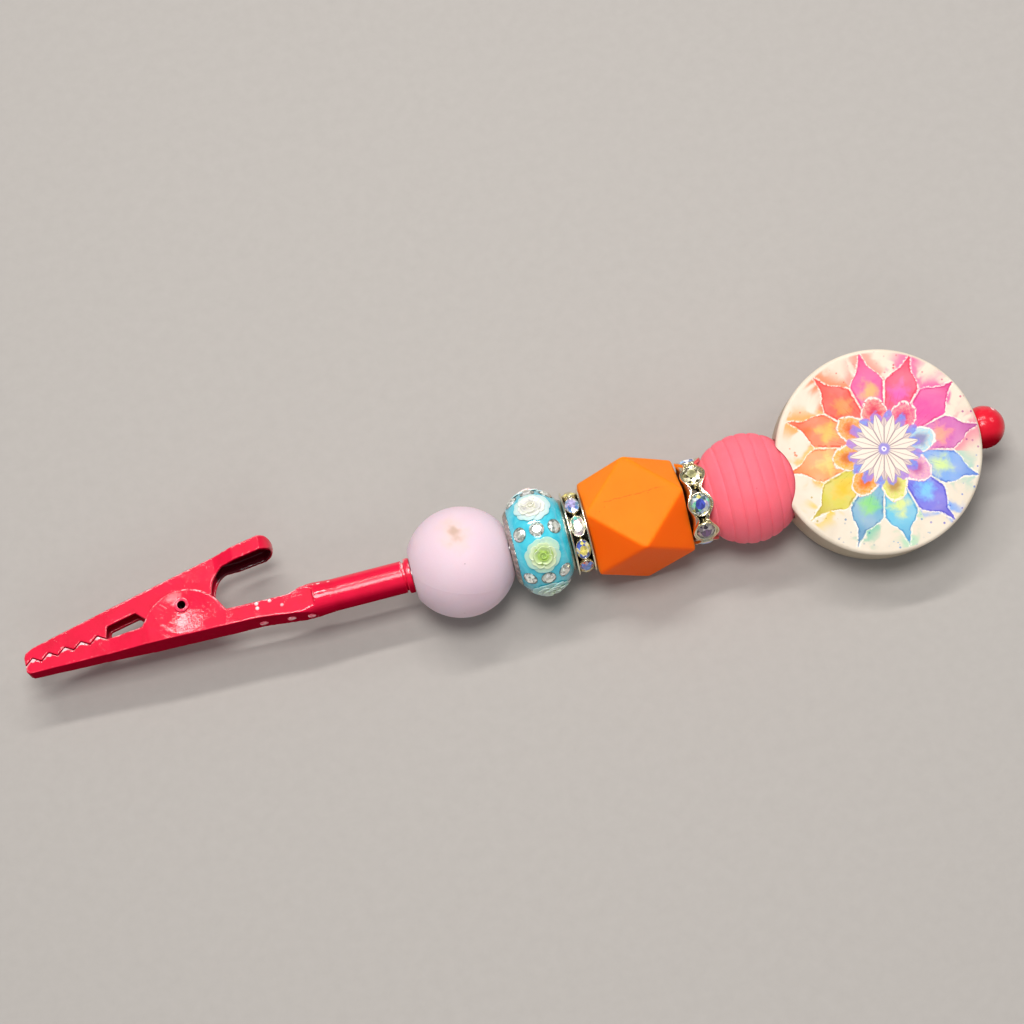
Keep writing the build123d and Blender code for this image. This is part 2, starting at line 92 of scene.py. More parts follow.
# ---------------------------------------------------------------- shader helpers
class Shader:
    """A node material round one Principled surface, with short calls for the nodes that feed it."""

    def __init__(self, name):
        self.material = bpy.data.materials.new(name)
        self.material.use_nodes = True
        self.tree = self.material.node_tree
        self.surface = self.tree.nodes["Principled BSDF"]

    def node(self, kind, **settings):
        made = self.tree.nodes.new("ShaderNode" + kind)
        for key, value in settings.items():
            setattr(made, key, value)
        return made

    def feed(self, socket, value):
        """Links an output to a socket, or sets the socket's own value."""
        if isinstance(value, bpy.types.NodeSocket):
            self.tree.links.new(value, socket)
        elif socket.type == "RGBA":
            socket.default_value = (*value, 1.0)
        else:
            socket.default_value = value

    def set(self, **values):
        """Sets or links the surface's sockets, such as Base_Color=colour."""
        for key, value in values.items():
            self.feed(self.surface.inputs[key.replace("_", " ")], value)

    def scatter(self, weight, radius, scale_mm):
        """Light that spreads under the surface, by a share of the scale for each of red, green and blue."""
        self.set(Subsurface_Weight=weight, Subsurface_Radius=radius, Subsurface_Scale=scale_mm * MM)

    def math(self, operation, a, b=0.0, c=0.0):
        made = self.node("Math", operation=operation)
        for socket, value in zip(made.inputs, (a, b, c)):
            self.feed(socket, value)
        return made.outputs[0]

    def vector(self, operation, a, b=(0, 0, 0)):
        made = self.node("VectorMath", operation=operation)
        self.feed(made.inputs[0], a)
        self.feed(made.inputs["Scale"] if operation == "SCALE" else made.inputs[1], b)
        return made.outputs["Value" if operation in ("LENGTH", "DOT_PRODUCT") else "Vector"]

    def times(self, *values):
        return reduce(lambda a, b: self.math("MULTIPLY", a, b), values)

    def plus(self, a, b):
        return self.math("ADD", a, b)

    def minus(self, a, b):
        return self.math("SUBTRACT", a, b)

    def length(self, vector):
        return self.vector("LENGTH", vector)

    def place(self, origin=(0, 0, 0)):
        """Millimetres from an origin."""
        metres = self.vector("SCALE", self.node("TexCoord").outputs["Object"], 1 / MM)
        return self.vector("SUBTRACT", metres, tuple(origin))

    def split(self, vector):
        made = self.node("SeparateXYZ")
        self.feed(made.inputs[0], vector)
        return made.outputs

    def join(self, x, y, z=0.0):
        made = self.node("CombineXYZ")
        for socket, value in zip(made.inputs, (x, y, z)):
            self.feed(socket, value)
        return made.outputs[0]

    def noise(self, where, scale, detail=3.0, roughness=0.55, distortion=0.0):
        made = self.node("TexNoise")
        for key, value in zip(
            ("Vector", "Scale", "Detail", "Roughness", "Distortion"),
            (where, scale, detail, roughness, distortion),
        ):
            self.feed(made.inputs[key], value)
        return made.outputs["Fac"]

    def voronoi(self, where, scale, output="Distance"):
        made = self.node("TexVoronoi")
        self.feed(made.inputs["Vector"], where)
        self.feed(made.inputs["Scale"], scale)
        return made.outputs[output]

    def ramp(self, factor, stops, interpolation):
        """A colour ramp of (position, colour) stops, where a colour may be one number for a grey."""
        made = self.node("ValToRGB")
        band = made.color_ramp
        band.interpolation = interpolation
        while len(band.elements) < len(stops):
            band.elements.new(0.5)
        for element, (position, colour) in zip(band.elements, stops):
            element.position = position
            grey = isinstance(colour, (int, float))
            element.color = (colour, colour, colour, 1.0) if grey else (*colour, 1.0)
        self.feed(made.inputs[0], factor)
        return made.outputs[0]

    def mix(self, factor, a, b, blend="MIX"):
        made = self.node("Mix", data_type="RGBA", blend_type=blend)
        self.feed(made.inputs[0], factor)
        self.feed(made.inputs[6], a)
        self.feed(made.inputs[7], b)
        return made.outputs[2]

    def remap(self, value, low, high, to_low=0.0, to_high=1.0, kind="LINEAR"):
        made = self.node("MapRange", interpolation_type=kind)
        for socket, number in zip(made.inputs, (value, low, high, to_low, to_high)):
            self.feed(socket, number)
        return made.outputs[0]

    def vary(self, noise, low, high):
        """Spreads a noise's usual range between two values."""
        return self.remap(noise, 0.3, 0.7, low, high)

    def step(self, value, low, high):
        """0 at low and 1 at high, smooth between."""
        return self.remap(value, low, high, kind="SMOOTHSTEP")

    def bump(self, height, distance_mm, strength=1.0, below=None):
        """Feeds the surface's and the coat's normal from a height from 0 to 1."""
        made = self.node("Bump")
        self.feed(made.inputs["Height"], height)
        self.feed(made.inputs["Strength"], strength)
        self.feed(made.inputs["Distance"], distance_mm * MM)
        if below is not None:
            self.feed(made.inputs["Normal"], below)
        self.feed(self.surface.inputs["Normal"], made.outputs[0])
        self.feed(self.surface.inputs["Coat Normal"], made.outputs[0])
        return made.outputs[0]


# ---------------------------------------------------------------- mesh helpers
def make_object(name, points, faces, sharp_angle=40):
    """A mesh object from points in millimetres, smooth but for edges above the angle."""
    mesh = bpy.data.meshes.new(name)
    mesh.from_pydata([Vector(point) * MM for point in points], [], faces)
    shell = bmesh.new()
    shell.from_mesh(mesh)
    bmesh.ops.remove_doubles(shell, verts=shell.verts, dist=1e-7)
    bmesh.ops.recalc_face_normals(shell, faces=shell.faces)
    shell.to_mesh(mesh)
    shell.free()
    mesh.shade_smooth()
    mesh.set_sharp_from_angle(angle=math.radians(sharp_angle))
    piece = bpy.data.objects.new(name, mesh)
    bpy.context.scene.collection.objects.link(piece)
    return piece


def dress(piece, body, material, slot, *replaced):
    """Gives a piece its material and its body and hides the CAD nodes that it stands for; the slot is not
    used.
    """
    if material is not None:
        piece.data.materials.clear()
        piece.data.materials.append(material)
    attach(piece, body)
    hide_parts(*replaced)
    return piece


def show_node(node, material):
    """Gives a CAD node that shows as it is its material."""
    nodes[node].data.materials.clear()
    nodes[node].data.materials.append(material)


def softened(name, node, voxel, passes):
    """A copy of a CAD node with every edge rounded, as a thick coat or a moulding rounds it."""
    mesh = nodes[node].data.copy()
    mesh.name = name
    source = bmesh.new()
    source.from_mesh(mesh)
    bmesh.ops.remove_doubles(source, verts=source.verts, dist=1e-6)
    source.to_mesh(mesh)
    source.free()
    piece = bpy.data.objects.new(name, mesh)
    bpy.context.scene.collection.objects.link(piece)
    remesh = piece.modifiers.new("skin", "REMESH")
    remesh.mode = "VOXEL"
    remesh.voxel_size = voxel * MM
    remesh.use_smooth_shade = True
    smooth = piece.modifiers.new("soften", "SMOOTH")
    smooth.factor = 0.5
    smooth.iterations = passes
    apply_modifiers(piece)
    return piece


def apply_modifiers(piece):
    """Keeps a piece's modified mesh as its own and removes the modifiers."""
    graph = bpy.context.evaluated_depsgraph_get()
    made = bpy.data.meshes.new_from_object(piece.evaluated_get(graph), depsgraph=graph)
    piece.modifiers.clear()
    piece.data = made


def thicken(piece, thickness):
    """Gives an open sheet a thickness, half of it to each side."""
    modifier = piece.modifiers.new("thickness", "SOLIDIFY")
    modifier.thickness = thickness * MM
    modifier.offset = 0


def rounded(corners, steps=5):
    """A closed profile from corners (x, r) or (x, r, radius), those with a radius rounded."""
    points = []
    count = len(corners)
    for index, corner in enumerate(corners):
        here = Vector(corner[:2])
        radius = corner[2] if len(corner) > 2 else 0
        if not radius:
            points.append(tuple(here))
            continue
        before = Vector(corners[index - 1][:2]) - here
        after = Vector(corners[(index + 1) % count][:2]) - here
        start = here + before.normalized() * min(radius, before.length * 0.45)
        end = here + after.normalized() * min(radius, after.length * 0.45)
        for step in range(steps + 1):
            t = step / steps
            points.append(tuple(start * (1 - t) ** 2 + here * 2 * t * (1 - t) + end * t * t))
    return points


def mirrored(corners):
    """A rounded profile from the corners of its left half."""
    return rounded([*corners, *((-corner[0], *corner[1:]) for corner in reversed(corners))])


def arc(centre, radius, start, end, steps):
    """Points (x, r) on an arc, its angles in degrees from the -x direction."""
    turns = [math.radians(start + (end - start) * step / steps) for step in range(steps + 1)]
    return [(centre[0] - radius * math.cos(t), centre[1] + radius * math.sin(t)) for t in turns]


def grid_faces(rows, columns, close_rows=True, close_columns=True):
    """Four-sided faces over rows of points, closed to a ring either way or left open."""
    faces = []
    for row in range(rows if close_rows else rows - 1):
        here = row * columns
        after = (row + 1) % rows * columns
        for column in range(columns if close_columns else columns - 1):
            beside = (column + 1) % columns
            faces.append((here + column, here + beside, after + beside, after + column))
    return faces


def turned(profile, place, segments=160, ripple=None):
    """Points and faces of a closed profile (x, r) turned about the local x axis and put in place."""
    points = []
    for ring in range(segments):
        turn = 2 * math.pi * ring / segments
        for x, r in profile:
            radius = r + (ripple(x, r, turn) if ripple else 0.0)
            points.append(place @ Vector((x, radius * math.sin(turn), radius * math.cos(turn))))
    return points, grid_faces(segments, len(profile))


def on_rod(x):
    """Place of a piece whose middle is on the rod at this X."""
    return Matrix.Translation(AXIS + Vector((x, 0, 0)))


def lathe(name, profile, x, segments=160, ripple=None, sharp_angle=40):
    """A piece turned about the rod from a closed profile (x, r)."""
    return make_object(name, *turned(profile, on_rod(x), segments, ripple), sharp_angle)


def outward(x, angle, radius, lean=0.0):
    """A place at this radius whose z axis leaves the rod; the angle, in degrees, is 0 straight up."""
    turn = math.radians(angle)
    spoke = Vector((0, math.sin(turn), math.cos(turn)))
    normal = spoke * math.cos(lean) + Vector((math.sin(lean), 0, 0))
    along = Vector((math.cos(lean), 0, 0)) - spoke * math.sin(lean)
    axes = Matrix((along, normal.cross(along), normal)).transposed().to_4x4()
    return Matrix.Translation(AXIS + Vector((x, 0, 0)) + spoke * radius) @ axes


STAND_UP = Matrix.Rotation(math.radians(-90), 4, "Y")      # takes the local x axis of a turned part to z


def merged(parts):
    """Joins lists of points and faces into one."""
    points = []
    faces = []
    for part_points, part_faces in parts:
        base = len(points)
        points += part_points
        faces += [tuple(index + base for index in face) for face in part_faces]
    return points, faces


def tint(piece, name, colours):
    """Stores one colour for each face."""
    layer = piece.data.color_attributes.new(name, "FLOAT_COLOR", "CORNER")
    for face in piece.data.polygons:
        for loop in face.loop_indices:
            layer.data[loop].color = (*colours[face.index], 1.0)


def brilliant(place, radius, crown, pavilion):
    """A round brilliant: points, faces and each face's kind, from the table to the pavilion."""
    points = []
    for count, share, height, offset in (
        (8, 0.56, crown, 0.0),
        (8, 0.78, crown * 0.635, 0.5),
        (16, 1.00, 0.0, 0.0),
        (16, 0.98, -0.08, 0.0),
        (1, 0.0, -pavilion, 0.0),
    ):
        for index in range(count):
            turn = 2 * math.pi * (index + offset) / count
            spot = Vector((radius * share * math.cos(turn), radius * share * math.sin(turn), height))
            points.append(place @ spot)
    star, girdle, under, culet = 8, 16, 32, 48
    faces = [tuple(range(8))]
    kinds = ["table"]
    for i in range(8):
        j = (i + 1) % 8
        g = girdle + 2 * i
        g_next = girdle + (2 * i + 2) % 16
        faces += [(i, star + i, j), (i, star + (i - 1) % 8, g, star + i)]
        faces += [(star + i, g, g + 1), (star + i, g + 1, g_next)]
        kinds += ["star", "kite", "upper", "upper"]
    for i in range(16):
        j = (i + 1) % 16
        faces += [(girdle + i, under + i, under + j, girdle + j), (under + i, culet, under + j)]
        kinds += ["girdle", "pavilion"]
    return points, faces, kinds


def set_stones(name, stones):
    """One piece of many stones, each (place, radius, crown, pavilion, table colour, facet colours)."""
    parts = []
    colours = []
    for place, radius, crown, pavilion, table, facets in stones:
        points, faces, kinds = brilliant(place, radius, crown, pavilion)
        parts.append((points, faces))
        for kind in kinds:
            # each facet's colour with a random brightness: partly the stone's colour, partly painted
            # reflection
            base = Vector(table if kind == "table" else random.choice(facets))
            colours.append(tuple(base * random.uniform(0.75, 1.15)))
    piece = make_object(name, *merged(parts), sharp_angle=3)
    tint(piece, "facet", colours)
    return piece


# ---------------------------------------------------------------- materials
def tooth_tip_glints(s, p, x, y):
    """1 on each painted highlight at the tip of a lower jaw's tooth, else 0."""
    along = s.math("WRAP", s.minus(x, FIRST_TIP_X), TOOTH_PITCH / 2, -TOOTH_PITCH / 2)
    row = s.math("MULTIPLY_ADD", x, TOOTH_ROW_SLOPE, TOOTH_ROW_Y + 0.12)
    away = s.length(s.join(along, s.times(s.minus(y, row), 1.5)))
    ragged = s.plus(away, s.vary(s.noise(p, 2.2, 2.0, 0.6), -0.22, 0.22))
    return s.times(s.step(ragged, 0.56, 0.32), s.step(x, -56.6, -57.0))


def from_rivet(s, p):
    """Distance from the rivet's axis."""
    return s.length(s.vector("MULTIPLY", s.vector("SUBTRACT", p, tuple(rivet_centre)), (1, 1, 0)))


def paint(name, colour, deep, bare=None, dull_and_shaded_below=True, by_rivet=False, wear_and_glint_share=0.85):
    """Glossy paint on pressed steel: orange peel, painted shade and a duller coat on faces turned down,
    painted shade in creases, and pale rubbed edges that are partly wear and partly painted highlight.
    """
    s = Shader(name)
    p = s.place()
    x, y = s.split(p)[:2]
    point = s.node("NewGeometry").outputs["Pointiness"]
    facing = s.split(s.node("TexCoord").outputs["Normal"])[1]
    # faces turned down: painted shade in the colour, and a duller coat
    under = s.step(facing, -0.52, -0.90) if dull_and_shaded_below else 0.0
    fine = s.noise(p, 9.0, 4.0, 0.7)
    patches = s.remap(s.noise(s.vector("ADD", p, (17, 3, 9)), 1.3, 3.0, 0.6), 0.47, 0.60)
    wear_and_glint = s.math("MULTIPLY_ADD", patches, wear_and_glint_share, 0.06)
    shape = s.bump(s.noise(p, 0.8, 2.0, 0.5), 0.12, 0.13)
    if by_rivet:        # a painted highlight runs all along the ear's rim, and the sheet is dished round the rivet
        away = from_rivet(s, p)
        low, high = EAR_RIM_GLINT
        rim = s.times(s.step(away, low, low + 0.4), s.step(away, high, high - 0.4))
        rim = s.times(rim, s.step(y, rivet_centre.y - 1, rivet_centre.y + 2))
        wear_and_glint = s.math("MAXIMUM", wear_and_glint, rim)
        shape = s.bump(s.remap(away, DISH_R[0], DISH_R[1]), 0.29, 1.0, below=shape)
    # pale rubbed edges: partly wear, partly painted highlight, kept to edges turned up towards the lamps
    rubbed = s.times(s.remap(point, 0.507, 0.55), wear_and_glint)
    rubbed = s.times(rubbed, s.step(facing, -0.35, 0.25))
    base = s.mix(s.remap(s.noise(p, 0.5, 3.0), 0.35, 0.75, 0.0, 0.5), colour, deep)
    # painted shade: darker in creases and hollows
    base = s.mix(s.remap(point, 0.48, 0.40, 0.0, 0.85), base, darker(deep, 0.25))
    base = s.mix(rubbed, base, PRIMER_AND_GLINT)
    if by_rivet:
        # painted highlights on the lower jaw's tooth tips
        base = s.mix(s.times(tooth_tip_glints(s, p, x, y), 0.8), base, PRIMER_AND_GLINT)
    if bare is not None:
        base = bare(s, p, base)
    # painted shade: darker paint on faces turned down
    base = s.mix(s.times(under, 0.58), base, darker(deep, 0.12))
    s.set(Base_Color=base, Roughness=s.vary(fine, 0.38, 0.52))
    s.set(Specular_IOR_Level=s.remap(under, 0.0, 1.0, 0.12, 0.0))
    s.set(Coat_Weight=s.remap(under, 0.0, 1.0, 0.9, 0.02), Coat_Roughness=0.035, Coat_IOR=1.42)
    rough = s.step(s.noise(s.vector("ADD", p, (3, 8, 27)), 0.4, 2.0, 0.5), 0.48, 0.60)
    rough = s.math("MAXIMUM", rough, s.step(x, BARREL_START_X, BARREL_START_X + 2.5))
    grain = s.times(s.noise(p, 2.8, 3.0, 0.6), s.remap(rough, 0.0, 1.0, 0.35, 1.0))
    s.bump(grain, 0.03, 1.0, below=shape)
    return s.material


def nub_flecks_and_glints(s, p, base):
    """Pale flecks on a raised bump, partly rubbed paint and partly painted highlight, and painted highlights
    on the tips of the side wall's bumps.
    """
    flecks = s.remap(s.noise(p, 2.4, 2.0, 0.6), 0.46, 0.62, 0.0, 0.65)
    # painted highlight on the tips of the side wall's bumps
    tips = s.step(s.split(p)[2], AXIS.z + 2.15, AXIS.z + 2.35)
    return s.mix(s.math("MAXIMUM", flecks, s.times(tips, 0.9)), base, rgb(255, 218, 220))


def metal(name, colour, shade, low=0.16, high=0.36, painted_shade_r=0.0):
    """Plated metal with tarnish in its hollows, fine scratches and painted shade nearer the rod than a
    radius.
    """
    s = Shader(name)
    p = s.place(AXIS)
    cloud = s.noise(p, 1.6, 4.0, 0.6)
    hollow = s.remap(s.node("NewGeometry").outputs["Pointiness"], 0.50, 0.44)
    scratch = s.noise(s.vector("MULTIPLY", p, (2.0, 14.0, 3.0)), 2.5, 4.0, 0.7)
    base = s.mix(s.remap(cloud, 0.35, 0.75), colour, shade)
    base = s.mix(s.times(hollow, 0.7), base, darker(shade, 0.25))
    if painted_shade_r:
        # painted shade: nearly black nearer the rod, between a spacer's rims and between the waved band's
        # webs
        from_rod = s.length(s.vector("MULTIPLY", p, (0, 1, 1)))
        base = s.mix(s.step(from_rod, painted_shade_r, painted_shade_r - 0.5), base, darker(shade, 0.06))
    s.set(Base_Color=base, Metallic=1.0, Roughness=s.vary(scratch, low, high))
    s.bump(scratch, 0.012, 0.4)
    return s.material


def silicone(name, colour, deep, speck, centre, seam=None, mark=None):
    """Matte moulded silicone: faint clouding, dust specks, a soft bloom and a hairline parting seam."""
    s = Shader(name)
    p = s.place(centre)
    cloud = s.remap(s.noise(p, 0.16, 3.0, 0.5), 0.3, 0.7)
    grain = s.noise(p, 5.5, 5.0, 0.65)
    base = s.mix(s.times(cloud, 0.6), colour, deep)
    dust = s.step(s.voronoi(p, 0.55), 0.075, 0.03)
    rare = s.step(s.noise(s.vector("ADD", p, (31, 7, 3)), 0.5, 1.0), 0.50, 0.58)
    base = s.mix(s.times(dust, rare, 0.6), base, speck)
    base = s.mix(s.vary(grain, 0.0, 0.06), base, speck)
    if mark is not None:
        base = mark(s, p, base)
    s.set(Base_Color=base, Roughness=s.vary(grain, 0.52, 0.68), Specular_IOR_Level=0.14)
    s.scatter(0.5, (1.0, 0.5, 0.35), 1.7)
    s.set(Sheen_Weight=0.02, Sheen_Roughness=0.45)
    skin = s.bump(grain, 0.02, 0.35)
    if seam is not None:
        away = s.math("ABSOLUTE", s.vector("DOT_PRODUCT", p, seam))
        s.bump(s.step(away, 0.16, 0.03), 0.03, 0.4, below=skin)
    return s.material


def stain(s, p, base):
    """A rubbed beige mark on the round bead's upper side."""
    off = s.vector("MULTIPLY", s.vector("SUBTRACT", p, (0.15, 2.0, 7.22)), (1.0, 0.72, 1.0))
    ragged = s.plus(s.length(off), s.vary(s.noise(p, 0.55, 2.0, 0.5), -0.6, 0.6))
    base = s.mix(s.times(s.step(ragged, 2.8, 0.5), 0.5), base, rgb(226, 198, 176))
    return s.mix(s.times(s.step(ragged, 1.3, 0.0), 0.6), base, rgb(180, 148, 124))


def scratch_and_painted_shade(s, p, base):
    """A long shallow scratch across the faceted bead's upper face, a few rubbed marks near it, and painted
    shade: a deeper orange on facets turned down.
    """
    x, y, z = s.split(p)[:3]
    bend = s.vary(s.noise(s.vector("MULTIPLY", p, (1, 0, 0)), 0.5, 2.0), -0.2, 0.2)
    away = s.math("ABSOLUTE", s.minus(s.minus(y, 1.0), bend))
    along = s.times(s.step(x, -4.4, -3.4), s.step(x, 5.2, 3.6))
    line = s.times(s.step(away, 0.14, 0.02), along, s.step(z, 5.5, 6.2))
    patchy = s.times(line, s.remap(s.noise(p, 2.0, 2.0), 0.35, 0.65, 0.1, 0.6))
    # painted shade: facets turned down are a deeper, redder orange
    facing = s.split(s.node("TexCoord").outputs["Normal"])[1]
    base = s.mix(s.step(facing, -0.05, -0.75), base, rgb(255, 96, 0))
    return s.mix(patchy, base, rgb(196, 74, 8))


def crystal(name, sparkle):
    """Foil-backed cut stone: each facet has its own tone, partly the stone's colour and partly painted
    reflection, broken by small painted glints.
    """
    s = Shader(name)
    p = s.place()
    facet = s.node("Attribute", attribute_name="facet").outputs["Color"]
    # painted glints: small cells brighten and darken each facet
    cells = s.voronoi(p, sparkle, "Color")
    glint = s.remap(s.split(cells)[0], 0.0, 1.0, 0.6, 1.45)
    tone = s.mix(1.0, facet, s.join(glint, glint, glint), "MULTIPLY")
    s.set(Base_Color=tone, Metallic=0.35, Roughness=s.vary(s.noise(p, 3.0), 0.06, 0.14))
    s.set(Coat_Weight=1.0, Coat_Roughness=0.02, Coat_IOR=1.7)
    return s.material


def tube_hole_shade(s, p, base):
    """Painted shade inside the rivet's tube."""
    return s.mix(s.step(from_rivet(s, p), 0.62, 0.53), base, rgb(26, 6, 10))


def tail_inside_darkened(s, p, base):
    """Darker on the inside of the squeeze lever's hollow tail."""
    x, y, z = s.split(p)[:3]
    off = s.math("ABSOLUTE", s.minus(z, AXIS.z))
    top = s.math("MULTIPLY_ADD", x, TAIL_SLOPE, TAIL_START[1] - TAIL_START[0] * TAIL_SLOPE)
    end = s.math("MULTIPLY_ADD", s.times(off, off), -0.156, TAIL_END_X)
    flare = s.math("MULTIPLY_ADD", x, 0.393, 1.8 - 0.393 * TAIL_START[0])
    half = s.math("MINIMUM", flare, s.math("MULTIPLY_ADD", x, 0.053, 4.88))
    within = s.times(s.step(s.minus(top, y), 0.25, 0.45), s.step(s.minus(end, x), 0.25, 0.45))
    within = s.times(within, s.step(s.minus(half, off), 0.25, 0.42))
    return s.mix(s.times(within, 0.93), base, rgb(52, 2, 14))


TOOTH_PITCH = 2.28
FIRST_TIP_X = -66.66
TOOTH_ROW_SLOPE = 0.8 / 11.4
TOOTH_ROW_Y = 1.1 + 67.8 * TOOTH_ROW_SLOPE      # the row of teeth's middle, Y where X is 0
TAIL_START = (-40.2, 8.9)       # lever's outer edge, in X and Y, where the tail starts
TAIL_SLOPE = 1.1 / 6.8
TAIL_END_X = -32.1
rivet_centre = middle("pivot_rivet")
EAR_RIM_GLINT = (4.5, 6.2)    # the painted highlight band along the ear's rim, in distances from the rivet's axis
DISH_R = (0.9, 3.9)     # the dish round the rivet, from its foot to its rim
BARREL_START_X = -27.5
# pale pink of bare primer, also the colour of the painted highlights on edges and tooth tips
PRIMER_AND_GLINT = rgb(255, 214, 218)
PAINT = rgb(228, 5, 58)
PAINT_DEEP = rgb(196, 2, 40)
red_jaw = paint("painted_jaw", PAINT, PAINT_DEEP, by_rivet=True)
red_lever = paint("painted_lever", PAINT, PAINT_DEEP, tail_inside_darkened, wear_and_glint_share=0.35)
# a paler copy of the jaw paint with no painted shade below: painted highlight on the stamped nubs
red_nub_lit = paint("painted_nub_lit", rgb(242, 84, 112), rgb(226, 44, 78), nub_flecks_and_glints, dull_and_shaded_below=False)
red_rivet = paint("painted_rivet", rgb(240, 40, 84), PAINT_DEEP, tube_hole_shade)
red_collar = paint("painted_collar", PAINT, PAINT_DEEP)
red_ball = paint("painted_ball", rgb(224, 14, 44), rgb(186, 4, 28))
wire = metal("spring_wire_steel", (0.52, 0.52, 0.54), (0.36, 0.35, 0.34), 0.22, 0.4)
steel = metal("rod_steel", (0.62, 0.62, 0.63), (0.5, 0.49, 0.48))
silver = metal("silver_plate", (0.84, 0.82, 0.74), (0.56, 0.55, 0.47))
PALE_GOLD = ((0.93, 0.88, 0.70), (0.82, 0.74, 0.52), 0.12, 0.28)
pale_gold = metal("pale_gold_plate", *PALE_GOLD)
# painted shade towards the rod, between the spacer's rims
shaded_gold = metal("shaded_gold_plate", *PALE_GOLD, 5.0)

# ---------------------------------------------------------------- clip
PAINT_VOXEL = 0.12      # grain of the painted skins, fine enough for the teeth
jaw = softened("lower_jaw_shell", "lower_jaw", PAINT_VOXEL, 3)
dress(jaw, "clip_and_rod", red_jaw, "red_paint", "lower_jaw")
lever = softened("upper_jaw_shell", "upper_jaw", PAINT_VOXEL, 3)
dress(lever, "lever", red_lever, "red_paint_lever", "upper_jaw")
show_node("rod", steel)

# Tubular rivet: a shank whose two ends are rolled over into round flanges.
rivet_half = extent("pivot_rivet").z / 2
rivet_r = extent("pivot_rivet").x / 2
rivet = mirrored([
    (-rivet_half + 0.5, 0.5), (-rivet_half, 0.55, 0.12), (-rivet_half, rivet_r, 0.13),
    (-rivet_half + 0.26, rivet_r, 0.05), (-rivet_half + 0.26, 0.74),
])
piece = make_object("rivet_tube", *turned(rivet, Matrix.Translation(rivet_centre) @ STAND_UP, 64))
dress(piece, "clip_and_rod", red_rivet, "red_paint_rivet", "pivot_rivet")

# Torsion spring round the rivet. Its coil and lower leg stay with the lower jaw, and its upper leg,
# with the last of the coil, turns with the lever about the coil's own axis.
WIRE_R = 0.2
COIL_R = 1.15
COIL_PITCH = 0.42
COIL_TURNS = 2 + 128.3 / 360
COIL_START = math.radians(249.3)
COIL_SHARED = math.radians(60)      # part of the coil that the upper leg carries
COIL_GAP = math.radians(30)         # part of that which only the upper leg shows
LEG_LENGTH = 6.6


def coil_point(turn):
    """Point of the coil's centre line a turned angle after its start."""
    rise = COIL_PITCH * (turn / (2 * math.pi) - COIL_TURNS / 2)
    around = COIL_START - turn
    return rivet_centre + Vector((COIL_R * math.cos(around), COIL_R * math.sin(around), rise))


def coil_run(start, end, steps):
    return [coil_point(start + (end - start) * step / steps) for step in range(steps + 1)]


def wire_tube(path, radius, sides=12):
    """Points and faces of a round wire with flat ends along nearly level points."""
    points = []
    for index, point in enumerate(path):
        ahead = (path[min(index + 1, len(path) - 1)] - path[max(index - 1, 0)]).normalized()
        across = ahead.cross(Vector((0, 0, 1))).normalized()
        above = across.cross(ahead)
        for side in range(sides):
            turn = 2 * math.pi * side / sides
            points.append(point + across * radius * math.cos(turn) + above * radius * math.sin(turn))
    ends = [tuple(range(sides)), tuple(range(len(points) - sides, len(points)))]
    return points, ends + grid_faces(len(path), sides, close_rows=False)


COIL_END = 2 * math.pi * COIL_TURNS


def leg_end(turn, step):
    """End of a straight leg that leaves the coil at a turned angle, away from the given step."""
    start = coil_point(turn)
    return start + (start - coil_point(turn + step)).normalized() * LEG_LENGTH


lower_leg = leg_end(0, math.radians(1))
upper_leg = leg_end(COIL_END, -math.radians(1))
coil = [lower_leg, *coil_run(0.0, COIL_END - COIL_GAP, 150)]
piece = make_object("spring_coil", *wire_tube(coil, WIRE_R))
dress(piece, "clip_and_rod", wire, "spring_wire", "torsion_spring")
leg = [*coil_run(COIL_END - COIL_SHARED, COIL_END, 16), upper_leg]
piece = make_object("spring_upper_leg", *wire_tube(leg, WIRE_R - 0.01))
dress(piece, "lever", wire, "spring_wire")

# Stop collar, with the neck of paint that fills the gap to the barrel's end.
collar_x, collar_half, collar_r = round_node("stop_collar")
barrel_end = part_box("lower_jaw")[1].x / MM - collar_x
collar = rounded([
    (barrel_end - 0.05, 1.0), (barrel_end - 0.05, 1.95), (-collar_half, 1.9, 0.1),
    (-collar_half, collar_r, 0.24), (collar_half, collar_r, 0.24), (collar_half, 1.0),
])
piece = lathe("collar_ring", collar, collar_x, 96)
dress(piece, "clip_and_rod", red_collar, "red_paint_collar", "stop_collar")

# Stamped nubs: four on the channel's side wall and three on its floor, where it narrows to the barrel.
def nub(place, radius):
    """A low round bump, standing on the local x-y plane."""
    flank = [(-0.15, radius), (0.02, 0.93 * radius, 0.1), (0.12, 0.5 * radius, 0.15)]
    return turned(rounded([(-0.15, 0.0), *flank, (0.14, 0.0)]), place @ STAND_UP, 40)


WALL_NUBS = [(-35.7, 0.80, 2.26), (-35.7, 0.15, 2.26), (-33.9, 0.80, 2.2), (-32.4, -0.2, 2.14)]
FLOOR_NUBS = [(-35.3, -1.20, -0.5), (-31.45, -1.66, -0.1), (-28.7, -2.06, 0.1)]
floor_turn = Matrix.Rotation(math.radians(90), 4, "X") @ Matrix.Rotation(math.radians(7), 4, "Y")
nubs = [nub(Matrix.Translation(AXIS + Vector(at)), 0.30) for at in WALL_NUBS]
nubs += [nub(Matrix.Translation(AXIS + Vector(at)) @ floor_turn, 0.8) for at in FLOOR_NUBS]
piece = make_object("stamped_nubs", *merged(nubs))
dress(piece, "clip_and_rod", red_nub_lit, "red_paint")


